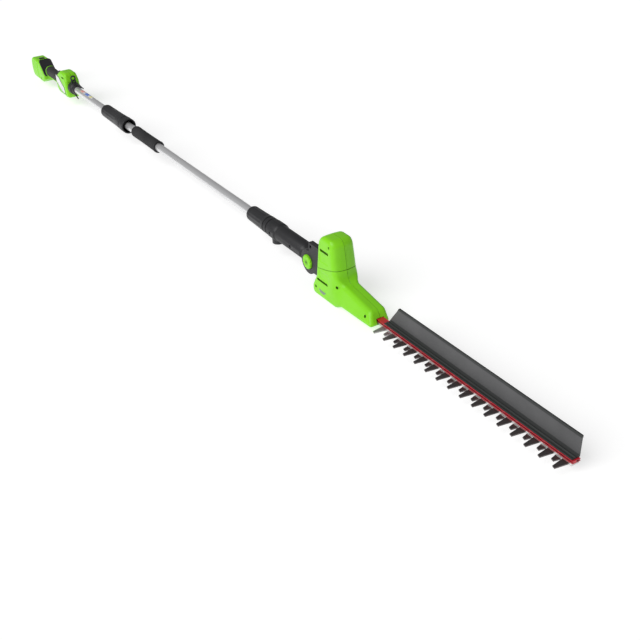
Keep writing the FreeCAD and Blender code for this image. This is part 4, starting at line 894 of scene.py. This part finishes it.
# %% Foam grip and its end ring
start, end, radius = ends("foam_grip")
foam = Surface()
turned(foam, [(start, POLE_RADIUS + SLEEVE_GAP, 0.5), (start, radius, 4.5), (start + 60, radius - 0.5, 60),
              (end - 50, radius - 0.4, 60), (end, radius, 3), (end, POLE_RADIUS + SLEEVE_GAP, 0.5)], step=2.0)
foam_piece = foam.build("foam_grip_fine", "foam", NODE_BODY["foam_grip"], "foam_grip")
start, end, radius = ends("foam_end_ring")
ring = Surface()
turned(ring, [(start, POLE_RADIUS + SLEEVE_GAP, 0.3), (start, radius, 0.8), (end, radius - 0.5, 1.2),
              (end, POLE_RADIUS + SLEEVE_GAP, 0.3)], step=0.6)
ring.build("foam_end_ring_fine", "dark_plastic", NODE_BODY["foam_end_ring"], "foam_end_ring")

# %% Band of colour round the rear pole
BAND_REAR, BAND_FRONT = -910.0, -800.0
BAND_LIFTS = (0.02, 0.12)
band = Surface()
angle = np.radians(np.linspace(-10, 120, 40))
along = np.linspace(BAND_REAR, BAND_FRONT, 24)
layers = []
for lift in BAND_LIFTS:
    reach = POLE_RADIUS + lift
    layers.append(np.stack(np.broadcast_arrays(along[:, None], reach * np.cos(angle)[None],
                                               reach * np.sin(angle)[None]), axis=-1))
band.add_grid(layers[1])
band.add_grid(layers[0])
for outer, inner in ((layers[1][0], layers[0][0]), (layers[1][-1], layers[0][-1]),
                     (layers[1][:, 0], layers[0][:, 0]), (layers[1][:, -1], layers[0][:, -1])):
    band.add_grid(np.stack([outer, inner]))
band.build("pole_band", "band_print", NODE_BODY["rear_pole_tube"])

# %% [markdown]
# ## Cutting bar and hedge sweep
# The red bar carries the blades, and the black sweep behind it gathers the cut twigs. Both are extrusions: a
# section in Y and Z carried along X. The sweep's near end is cut on a slant, so the distance along X is
# itself a function of the height.

# %% Carrying a section along X
def carried(surface, corners, along, lean=None, step=1.0, mark=None, end_hole=None):
    """Carries a closed section of corners (y, z, rounding) along X and closes both ends.

    lean(y, z) adds to the start; end_hole is a loop of (y, z) left open and sunk in the far end.
    """
    loop = outline_loop(corners, 0.0, step)
    share = np.linspace(0, 1, along[2])[:, None]
    near = along[0] + (lean(loop[:, 0], loop[:, 1]) if lean else np.zeros(len(loop)))
    x = near + (along[1] - near) * share
    grid = np.stack([x, np.broadcast_to(loop[:, 0], x.shape), np.broadcast_to(loop[:, 1], x.shape)], axis=-1)
    shade = np.zeros(len(loop)) if mark is None else mark(loop[:, 0], loop[:, 1])
    surface.add_grid(grid, closed_v=True, mark=np.broadcast_to(shade, x.shape).copy())
    surface.cap(grid[0], shade)
    if end_hole is None:
        surface.cap(grid[-1], shade)
        return
    points, triangles, _ = filled_face(loop, [end_hole], spacing=4.0)
    surface.add(np.column_stack([np.full(len(points), along[1]), points]), triangles)
    # The open hole's wall and floor are painted with full shade.
    rings = np.stack([np.column_stack([np.full(len(end_hole), along[1] - drop), end_hole])
                      for drop in (0.0, HOLE_DEPTH)])
    surface.add_grid(rings, closed_v=True, mark=1.0)
    surface.cap(rings[1], 1.0)


# %% Cutting bar
(low, high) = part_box("blade_support_bar")
BAR_REAR, BAR_END = low.x / MM, high.x / MM
BAR_HALF, BAR_LOW, BAR_TOP = high.y / MM, low.z / MM, high.z / MM
GROOVE_DEPTH = 0.9
BAR_SECTION = [(-BAR_HALF, BAR_LOW, 0.4), (BAR_HALF, BAR_LOW, 0.4), (BAR_HALF, BAR_LOW + 1.2, 0.2),
               (BAR_HALF - GROOVE_DEPTH, BAR_LOW + 1.5, 0.2), (BAR_HALF - GROOVE_DEPTH, BAR_TOP - 1.5, 0.2),
               (BAR_HALF, BAR_TOP - 1.2, 0.2), (BAR_HALF, BAR_TOP, 0.6), (-BAR_HALF, BAR_TOP, 0.6),
               (-BAR_HALF, BAR_TOP - 1.2, 0.2), (-BAR_HALF + GROOVE_DEPTH, BAR_TOP - 1.5, 0.2),
               (-BAR_HALF + GROOVE_DEPTH, BAR_LOW + 1.5, 0.2), (-BAR_HALF, BAR_LOW + 1.2, 0.2)]
BAR_MIDDLE = (BAR_LOW + BAR_TOP) / 2
GROOVE_HALF = 1.6


def bar_shade(y, z):
    """Painted shade along the floor of both side grooves."""
    return np.where((np.abs(y) < BAR_HALF - 0.4) & (np.abs(z - BAR_MIDDLE) < GROOVE_HALF), 1.0, 0.0)


bar = Surface()
carried(bar, BAR_SECTION, (BAR_REAR, BAR_END, 60), step=0.5, mark=bar_shade,
        end_hole=circle((2.4, BAR_MIDDLE), 1.9, 24))
bar.build("blade_support_bar_fine", "bar_red", NODE_BODY["blade_support_bar"], "blade_support_bar")

# %% Hedge sweep
(low, high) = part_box("hedge_sweep")
SWEEP_REAR, SWEEP_END = low.x / MM + 8, high.x / MM
SWEEP_LOW, SWEEP_TOP, SWEEP_SIDE = low.z / MM, high.z / MM, high.y / MM
LIP, LIP_SHADE = 5.0, 0.72
FLANGE_HEIGHT, FLANGE_SHADE = 5.2, 0.82
SLANT = 26.0
SWEEP_SECTION = [(-7.5, SWEEP_LOW, 0.5), (SWEEP_SIDE - 3.5, SWEEP_LOW, 1.0),
                 (SWEEP_SIDE - 1, SWEEP_TOP - LIP, 0.5), (SWEEP_SIDE, SWEEP_TOP - LIP + 0.6, 0.4),
                 (SWEEP_SIDE, SWEEP_TOP, 0.8),
                 (SWEEP_SIDE - 4, SWEEP_TOP, 0.8), (SWEEP_SIDE - 4, SWEEP_TOP - LIP + 0.6, 0.4),
                 (SWEEP_SIDE - 3.2, SWEEP_TOP - LIP, 0.4), (SWEEP_SIDE - 6, SWEEP_LOW + 4, 1.5),
                 (3.4, SWEEP_LOW + 2.4, 0.3), (2.8, SWEEP_LOW + 1.2, 0.2), (1.9, SWEEP_LOW + 1.2, 0.2),
                 (1.2, SWEEP_LOW + 2.6, 0.3), (-0.4, SWEEP_LOW + 4.6, 0.8), (-2.2, SWEEP_LOW + 2.6, 0.3),
                 (-2.9, SWEEP_LOW + 1.4, 0.2), (-3.7, SWEEP_LOW + 1.4, 0.2), (-4.2, SWEEP_LOW + 2.5, 0.3),
                 (-7.5, SWEEP_LOW + 2.5, 0.7)]


def sweep_slant(y, z):
    """The flange starts square; the wing starts further along the higher it goes."""
    return SLANT * np.clip((z - SWEEP_LOW - 5) / (SWEEP_TOP - SWEEP_LOW - 5), 0, 1)


def sweep_shade(y, z):
    """Painted shade, the darkest, in the two narrow grooves; the flange and the thick lip are dark too."""
    channel = (np.abs(y - 2.3) < 0.8) | (np.abs(y + 3.3) < 0.8)
    groove = channel & (z > SWEEP_LOW + 0.8) & (z < SWEEP_LOW + 2.2)
    flange = (z < SWEEP_LOW + FLANGE_HEIGHT) * FLANGE_SHADE
    lip = (z > SWEEP_TOP - LIP - 0.1) * LIP_SHADE
    return np.where(groove, 1.0, np.maximum(flange, lip))


sweep = Surface()
carried(sweep, SWEEP_SECTION, (SWEEP_REAR, SWEEP_END, 80), sweep_slant, step=0.8, mark=sweep_shade)
sweep.build("hedge_sweep_fine", "sweep_plastic", NODE_BODY["hedge_sweep"], "hedge_sweep")

# %% [markdown]
# ## Softened copies of the cut and moulded parts
# The blades, the tilt fork and the neck already have the right shape in the mechanical model, but real
# edges are never razor sharp. A copy is welded, its flat triangles are joined, and a narrow bevel is added.

# %% Bevelled copies
FLAT_DEGREES = 1.0


def bevelled_copy(node, width):
    """A welded copy of a model part with a narrow bevel; it stands for that part."""
    mesh = frame["nodes"][node].data.copy()
    mesh.name = node + "_soft"
    shape = bmesh.new()
    shape.from_mesh(mesh)
    bmesh.ops.remove_doubles(shape, verts=shape.verts, dist=WELD)
    bmesh.ops.dissolve_limit(shape, angle_limit=np.radians(FLAT_DEGREES), verts=shape.verts,
                              edges=shape.edges)
    shape.to_mesh(mesh)
    shape.free()
    mesh.shade_smooth()
    mesh.set_sharp_from_angle(angle=np.radians(SHARP_DEGREES))
    mesh.materials.clear()
    mesh.materials.append(FINISH[NODE_SLOT[node]])
    piece = bpy.data.objects.new(node + "_soft", mesh)
    bpy.context.scene.collection.objects.link(piece)
    bevel = piece.modifiers.new("edge", "BEVEL")
    bevel.width = width * MM
    bevel.segments = 2
    bevel.limit_method = "ANGLE"
    bevel.angle_limit = np.radians(SHARP_DEGREES)
    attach(piece, NODE_BODY[node])
    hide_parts(node)
    print(piece.name, len(mesh.polygons), "faces")


for node, width in (("long_tooth_blade", 0.35), ("short_tooth_blade", 0.35), ("head_yoke", 1.2),
                    ("neck_shell_left", 0.6), ("neck_shell_right", 0.6),
                    ("trigger", 1.0), ("lock_off_button", 0.8), ("battery_latch", 0.6)):
    bevelled_copy(node, width)

# %% [markdown]
# ### Tilt lock knob and neck screws
# The green knob on the tilt pivot has twelve shallow scallops for the fingers and a small centre hole. It is
# turned about Y from rings, and a power of the cosine cuts the scallops into the outer rings only.

# %% Tilt lock knob
(low, high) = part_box("tilt_lock_knob")
KNOB_FACE, KNOB_BACK, KNOB_RADIUS = low.y / MM, high.y / MM, (high.z - low.z) / 2 / MM
KNOB_SCALLOPS, SCALLOP = 12, 0.075
angle = np.linspace(0, 2 * np.pi, 144, endpoint=False)
KNOB_DEPTH = KNOB_BACK - KNOB_FACE
# Rows are (depth, radius, scallop weight, painted shade); the shade darkens the centre hole and the back
# face.
KNOB_ROWS = [(0.9, 0.0, 0, 1), (0.9, 1.9, 0, 1), (0.1, 2.4, 0, 0.6), (0.5, 8.0, 0, 0), (0.5, 10.5, 0, 0),
             (0.0, 12.0, 0.2, 0), (0.1, 13.4, 0.7, 0), (0.9, KNOB_RADIUS - 0.9, 1, 0),
             (2.2, KNOB_RADIUS, 1, 0), (KNOB_DEPTH - 0.8, KNOB_RADIUS, 1, 0),
             (KNOB_DEPTH, KNOB_RADIUS - 0.8, 1, 0.4), (KNOB_DEPTH, 0.0, 0, 0.4)]
grid, shade = [], []
for depth, radius, weight, dark in KNOB_ROWS:
    reach = radius * (1 - SCALLOP * weight * (0.5 - 0.5 * np.cos(KNOB_SCALLOPS * angle)) ** 2)
    grid.append(np.stack([PIVOT_X + reach * np.cos(angle), np.full(len(angle), KNOB_FACE + depth),
                          reach * np.sin(angle)], axis=1))
    shade.append(np.full(len(angle), float(dark)))
knob = Surface()
knob.add_grid(np.stack(grid), closed_v=True, mark=np.stack(shade))
knob.build("tilt_lock_knob_fine", "green_shell", NODE_BODY["tilt_lock_knob"], "tilt_lock_knob")

# %% Neck screws
NECK_SCREW_RADIUS, NECK_FRONT_HALF = 2.75, 20.0
(low, high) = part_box("neck_screws")
build_screws("neck_screws_dark", [(low.x / MM + NECK_SCREW_RADIUS, 0.0, -low.y / MM + SCREW_SINK),
                                  (high.x / MM - NECK_SCREW_RADIUS, 0.0, NECK_FRONT_HALF)],
             "neck", "neck_screws")

# %% [markdown]
# ## The rear handle
# Two green mouldings hold the pole, the switch and the battery terminals. The same half-shell recipe makes
# them from three outlines: the hood over the pole's end, the core inside the grip, and the rear block.

# %% Handle outlines
(low, high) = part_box("handle_shell_left")
BLOCK_REAR, HOOD_FRONT = low.x / MM, high.x / MM
HOOD_TOP, HANDLE_HALF, BLOCK_LOW = high.z / MM, -low.y / MM, low.z / MM
GRIP_REAR, GRIP_FRONT = ends("grip_sleeve")[:2]
HOOD_LOW = -36.0
HANDLE_GAP, HANDLE_WALL = 0.2, 2.0
CORE_HALF, CORE_REACH = 11.0, 8
HOOD = [(HOOD_FRONT, 22, 7), (HOOD_FRONT - 13, HOOD_TOP, 14), (HOOD_FRONT - 62, HOOD_TOP, 30),
        (GRIP_FRONT, 20, 14), (GRIP_FRONT, -22, 9), (GRIP_FRONT + 18, HOOD_LOW, 14),
        (HOOD_FRONT - 8, HOOD_LOW, 12), (HOOD_FRONT, -24, 8)]
BLOCK = [(BLOCK_REAR, BLOCK_LOW, 8), (BLOCK_REAR + 36, BLOCK_LOW, 12), (GRIP_REAR, -26, 7),
         (GRIP_REAR, -15, 5), (BLOCK_REAR + 14, 28, 9), (BLOCK_REAR, 28, 5)]
CORE = [(GRIP_REAR - CORE_REACH, -12, 3), (GRIP_FRONT + CORE_REACH, -12, 3),
        (GRIP_FRONT + CORE_REACH, 13, 3), (GRIP_REAR - CORE_REACH, 13, 3)]


def hood_width(x, z):
    """Widest a little below the middle, and drawn in towards the roof."""
    return HANDLE_HALF - HANDLE_GAP - 4.0 * (np.clip(z - 4, -45, 45) / 42) ** 2


def block_width(x, z):
    """Widest a little above its foot; it narrows with the square of the distance from there."""
    return HANDLE_HALF - HANDLE_GAP - 2.0 * (np.clip(z + 7, -40, 40) / 35) ** 2


def core_width(x, z):
    """The same all over."""
    return np.full(np.shape(x), CORE_HALF)



# %% Handle half shells
HOOD_RECESSES = [(HOOD_FRONT - 20, HOOD_LOW + 9)]
BLOCK_RECESSES = [(BLOCK_REAR + 24, BLOCK_LOW + 11)]
HOOD_VENT = slot_loop(HOOD_FRONT - 40, HOOD_FRONT - 16, 30, 5.0)
for side, half_name in ((-1, "handle_shell_left"), (1, "handle_shell_right")):
    shell = Surface()
    hood_holes = [HOOD_VENT] + ([circle(spot, RECESS_RADIUS) for spot in HOOD_RECESSES] if side < 0 else [])
    block_holes = [circle(spot, RECESS_RADIUS) for spot in BLOCK_RECESSES] if side < 0 else []
    half_shell(shell, HOOD, hood_width, side, 9.0, holes=hood_holes)
    half_shell(shell, BLOCK, block_width, side, 5.0, holes=block_holes)
    half_shell(shell, CORE, core_width, side, 2.5)
    shell.build(half_name + "_skin", "green_shell", NODE_BODY[half_name], half_name,
                outward=Vector((0, side, 0)), wall=HANDLE_WALL)
build_screws("handle_screws_dark", [(x, z, hood_width(x, z)) for x, z in HOOD_RECESSES]
             + [(x, z, block_width(x, z)) for x, z in BLOCK_RECESSES], "handle", "handle_screws")

# %% [markdown]
# ### Soft grip
# The grip is moulded over the core, so it is one sleeve with a rounded square section. Powers of the cosine
# and sine give that section without corners to join, and a small cosine along X adds the finger ribs. A thin
# green rim, a tube that follows the same section, frames its rear end and runs along its side.

# %% Soft grip
SLEEVE_HALF = ends("grip_sleeve")[2]
SLEEVE_LOW, SLEEVE_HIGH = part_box("grip_sleeve")[0].z / MM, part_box("grip_sleeve")[1].z / MM
SLEEVE_TALL = (SLEEVE_HIGH - SLEEVE_LOW) / 2
GRIP_SLIM, GRIP_WAIST, GRIP_POWER = 0.86, 0.05, 0.85
RIBS, RIB_DEPTH = 18, 0.35


def grip_section(share, angle, grow=0.0):
    """A rounded square section by powers of the cosine and sine, slimmer in the middle of the grip."""
    slim = GRIP_SLIM - GRIP_WAIST * np.sin(np.pi * np.clip(share, 0, 1)) ** 2
    y = np.sign(np.cos(angle)) * np.abs(np.cos(angle)) ** GRIP_POWER * (SLEEVE_HALF * slim + grow)
    z = np.sign(np.sin(angle)) * np.abs(np.sin(angle)) ** GRIP_POWER * (SLEEVE_TALL * slim + grow)
    return y, z + (SLEEVE_HIGH + SLEEVE_LOW) / 2


angle = np.linspace(0, 2 * np.pi, 96, endpoint=False)
share = np.linspace(0, 1, 72)[:, None]
y, z = grip_section(share, angle[None])
ribbed = ease((share - 0.12) / 0.06) * ease((0.9 - share) / 0.06)
scale = 1 - RIB_DEPTH * (0.5 - 0.5 * np.cos(share * 2 * np.pi * RIBS)) * ribbed / SLEEVE_HALF
grip = Surface()
grid = np.stack(np.broadcast_arrays(GRIP_REAR + (GRIP_FRONT - GRIP_REAR) * share, y * scale, z * scale),
                axis=-1)
grip.add_grid(grid, closed_v=True)
grip.cap(grid[0])
grip.cap(grid[-1])
grip.build("grip_sleeve_fine", "overmould", NODE_BODY["grip_sleeve"], "grip_sleeve")

# %% Green rim round the grip's rear end
RIM_RADIUS, RIM_LIFT = 1.5, 0.2
RUN_ANGLE = np.radians(222.0)
rim = Surface()
around = np.linspace(0, 2 * np.pi, 12, endpoint=False)[None]
arc = np.linspace(np.radians(60), np.radians(300), 80)[:, None]
y, z = grip_section(0.0, arc, RIM_LIFT + RIM_RADIUS * np.cos(around))
hoop = np.broadcast_arrays(GRIP_REAR + 7 + RIM_RADIUS * np.sin(around) + 0 * arc, y, z)
run = np.linspace(GRIP_REAR + 9, GRIP_FRONT + 3, 40)[:, None]
y, z = grip_section((run - GRIP_REAR) / (GRIP_FRONT - GRIP_REAR), RUN_ANGLE, RIM_LIFT)
rail = np.broadcast_arrays(run + 0 * around, y + RIM_RADIUS * np.cos(around), z + RIM_RADIUS * np.sin(around))
for grid in (np.stack(hoop, axis=-1), np.stack(rail, axis=-1)):
    rim.add_grid(grid, closed_v=True)
    rim.cap(grid[0])
    rim.cap(grid[-1])
rim.build("grip_rim", "green_shell", NODE_BODY["grip_sleeve"])

# %% [markdown]
# ### Badge, head mark and rear bezel
# Three plates stand a little proud of what they sit on: a leaf-shaped badge on the hood, a small grey mark
# on the head, and the dark bezel on the rear slope. Each is the same outline drawn in step by step, and a
# function lays it on its surface, so a plate follows a curved side without a modifier.

# %% Raised plates
def raised_plate(surface, corners, place, rows, dark_rows=()):
    """A plate built up from insets of one outline: rows of (inset, height), placed by place(u, v, height)."""
    grid = np.stack([place(*outline_loop(corners, inset, 1.5).T, height) for inset, height in rows])
    shade = np.zeros(grid.shape[:2])
    for row in dark_rows:
        shade[row] = 1.0
    surface.add_grid(grid, closed_v=True, mark=shade)
    surface.cap(grid[0], shade[0])
    surface.cap(grid[-1], shade[-1])


PLATE_ROWS = [(0.0, -0.8), (0.0, 0.5), (0.4, 0.9), (2.2, 0.9), (2.4, 0.4), (2.8, 0.4), (3.0, 0.8),
              (4.0, 1.0)]
MARK_ROWS = [(0.0, -0.5), (0.0, 0.5), (0.4, 0.9), (1.2, 0.9)]
MARK_LIFT = 0.4


def on_hood(x, z, height):
    """On the hood's -Y side, raised by a height."""
    return np.stack([x, -(hood_width(x, z) + height), z], axis=-1)


def on_head(x, z, height):
    """On the head's -Y side, raised by a share of a height."""
    return np.stack([x, -(head_width(x, z) + height * MARK_LIFT), z], axis=-1)


LEAF = [(GRIP_FRONT + 8, 29, 4), (GRIP_FRONT + 42, 25, 12), (HOOD_FRONT - 22, -2, 4),
        (HOOD_FRONT - 25, -27, 6), (GRIP_FRONT + 54, -23, 16), (GRIP_FRONT + 13, 3, 6)]
leaf = Surface()
raised_plate(leaf, LEAF, on_hood, PLATE_ROWS, dark_rows=range(6))
leaf.build("side_badge_fine", "badge", NODE_BODY["side_badge"], "side_badge")

HEAD_MARK = from_pivot([(46, -39, 1.5), (60, -42, 3), (80, -41, 1.5), (66, -49, 4), (54, -48, 3)])
mark_plate = Surface()
raised_plate(mark_plate, HEAD_MARK, on_head, MARK_ROWS)
mark_plate.build("head_mark", "mark_grey", "head")

# %% Rear bezel
SLOPE_TOP, SLOPE_FOOT = np.array([BLOCK_REAR + 11, 29.0]), np.array([GRIP_REAR + 1, -15.0])
slope = (SLOPE_FOOT - SLOPE_TOP) / np.linalg.norm(SLOPE_FOOT - SLOPE_TOP)
slope_normal = np.array([-slope[1], slope[0]])
BEZEL_LENGTH = float(np.linalg.norm(SLOPE_FOOT - SLOPE_TOP))
BEZEL = [(-1, -20, 11), (BEZEL_LENGTH, -22, 9), (BEZEL_LENGTH, 24, 9), (-1, 24, 11)]


def on_slope(u, v, height):
    """On the block's rear slope: u runs down it, v across it, and the height stands off it."""
    spot = SLOPE_TOP[None] + u[:, None] * slope[None] + height * slope_normal[None]
    return np.stack([spot[:, 0], v, spot[:, 1]], axis=-1)


BEZEL_ROWS = [(0.0, -2.0), (0.0, 1.8), (0.8, 2.8), (3.0, 3.2), (4.0, 2.0), (12.0, 1.6)]
bezel = Surface()
raised_plate(bezel, BEZEL, on_slope, BEZEL_ROWS)
bezel.build("rear_bezel_fine", "dark_plastic", NODE_BODY["rear_bezel"], "rear_bezel")

# %% [markdown]
# ## Pole collar
# Where the pole leaves the hood, a dark collar carries a hanging eye and two prongs, above and below. The eye
# and the prongs are tubes: a circle carried along a path, shrinking where the path ends.

# %% Tubes along a path
TUBE_ASIDE = (0.31, 0.87, 0.21)


def tube(surface, path, radius, closed=False, count=14):
    """A circle of a radius, one number or one for each point, carried along a path of points."""
    path = np.asarray(path, dtype=float)
    ahead = np.roll(path, -1, axis=0) - np.roll(path, 1, axis=0)
    if not closed:
        ahead = np.gradient(path, axis=0)
    ahead /= np.linalg.norm(ahead, axis=1)[:, None]
    across = np.cross(ahead, np.broadcast_to(TUBE_ASIDE, ahead.shape))
    across /= np.linalg.norm(across, axis=1)[:, None]
    upright = np.cross(across, ahead)
    angle = np.linspace(0, 2 * np.pi, count, endpoint=False)
    reach = np.broadcast_to(radius, (len(path),))[:, None, None]
    grid = path[:, None] + reach * (across[:, None] * np.cos(angle)[None, :, None]
                                    + upright[:, None] * np.sin(angle)[None, :, None])
    surface.add_grid(grid, closed_u=closed, closed_v=True)
    if not closed:
        surface.cap(grid[0])
        surface.cap(grid[-1])


# %% Collar with its eye and prongs
EYE_X, EYE_Z, EYE_RING, EYE_WIRE = HOOD_FRONT + 14, 34.0, 7.0, 2.5
STEM_WIRE, STEM_FOOT = 2.6, 17.0
neck_collar = Surface()
turned(neck_collar, [(HOOD_FRONT + 0.4, POLE_RADIUS + 0.1, 0.3), (HOOD_FRONT + 0.4, 20.5, 2),
                     (HOOD_FRONT + 24, 20.0, 5), (HOOD_FRONT + 30, 15.5, 4), (HOOD_FRONT + 42, 14.0, 2),
                     (HOOD_FRONT + 42, POLE_RADIUS + 0.1, 0.5)], step=1.0)
around = np.linspace(0, 2 * np.pi, 40, endpoint=False)
eye = np.column_stack([np.full(40, EYE_X), EYE_RING * np.cos(around), EYE_Z + EYE_RING * np.sin(around)])
tube(neck_collar, eye, EYE_WIRE, closed=True)
rise = np.linspace(0, 1, 12)
for stem_y in (-6.0, 6.0):
    stem = np.column_stack([np.full(12, EYE_X), np.full(12, stem_y),
                            STEM_FOOT + (EYE_Z - STEM_FOOT - 2) * rise])
    tube(neck_collar, stem, STEM_WIRE)
reach = np.linspace(0, 1, 24)
upper_prong = np.column_stack([HOOD_FRONT + 24 + 66 * reach, 5 + 1.5 * reach,
                               16.5 + 2.5 * reach - 4 * reach ** 2])
lower_prong = np.column_stack([HOOD_FRONT + 14 + 30 * reach, np.full(24, -3.0),
                               -18 - 7 * reach - 3 * reach ** 2])
tube(neck_collar, upper_prong, 3.4 - 1.8 * reach)
tube(neck_collar, lower_prong, 3.2 - 1.6 * reach)
neck_collar.build("pole_collar_fine", "dark_plastic", NODE_BODY["pole_collar"], "pole_collar")

# %% [markdown]
# ## Battery
# The battery's case and lid look like one green casing with rounded rear corners and a fine parting groove,
# so one surface stands for both. It uses the half-shell recipe again, with a width that draws in to the rear.

# %% Battery casing
(low, high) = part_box("battery_case")
BATTERY_REAR, BATTERY_FRONT, BATTERY_LOW, SPLIT = low.x / MM, high.x / MM, low.z / MM, high.z / MM
BATTERY_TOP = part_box("battery_lid")[1].z / MM
BATTERY_GAP, BATTERY_EDGE = 0.4, 6.0
BATTERY = [(BATTERY_REAR + 4, BATTERY_LOW, 16), (BATTERY_FRONT, BATTERY_LOW, 2),
           (BATTERY_FRONT, BATTERY_TOP, 2), (BATTERY_REAR + 8, BATTERY_TOP, 24)]
battery_loop = outline_loop(BATTERY)
split_distance = np.where(battery_loop[:, 0] > BATTERY_REAR + 20, np.inf, np.abs(battery_loop[:, 1] - SPLIT))
split_point = int(np.argmin(split_distance))


def battery_width(x, z):
    """Drawn in towards the roof and the rear end, each with the square of the distance."""
    rear = np.clip((BATTERY_REAR + 40 - x) / 40, 0, 1)
    return HANDLE_HALF - BATTERY_GAP - 2.5 * (np.clip(z + 7, -40, 40) / 35) ** 2 - 3.0 * rear ** 2


casing = Surface()
for side in (-1, 1):
    half_shell(casing, BATTERY, battery_width, side, BATTERY_EDGE, groove=(split_point,))
casing_piece = casing.build("battery_casing", "green_shell", NODE_BODY["battery_case"])
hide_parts("battery_case", "battery_lid")
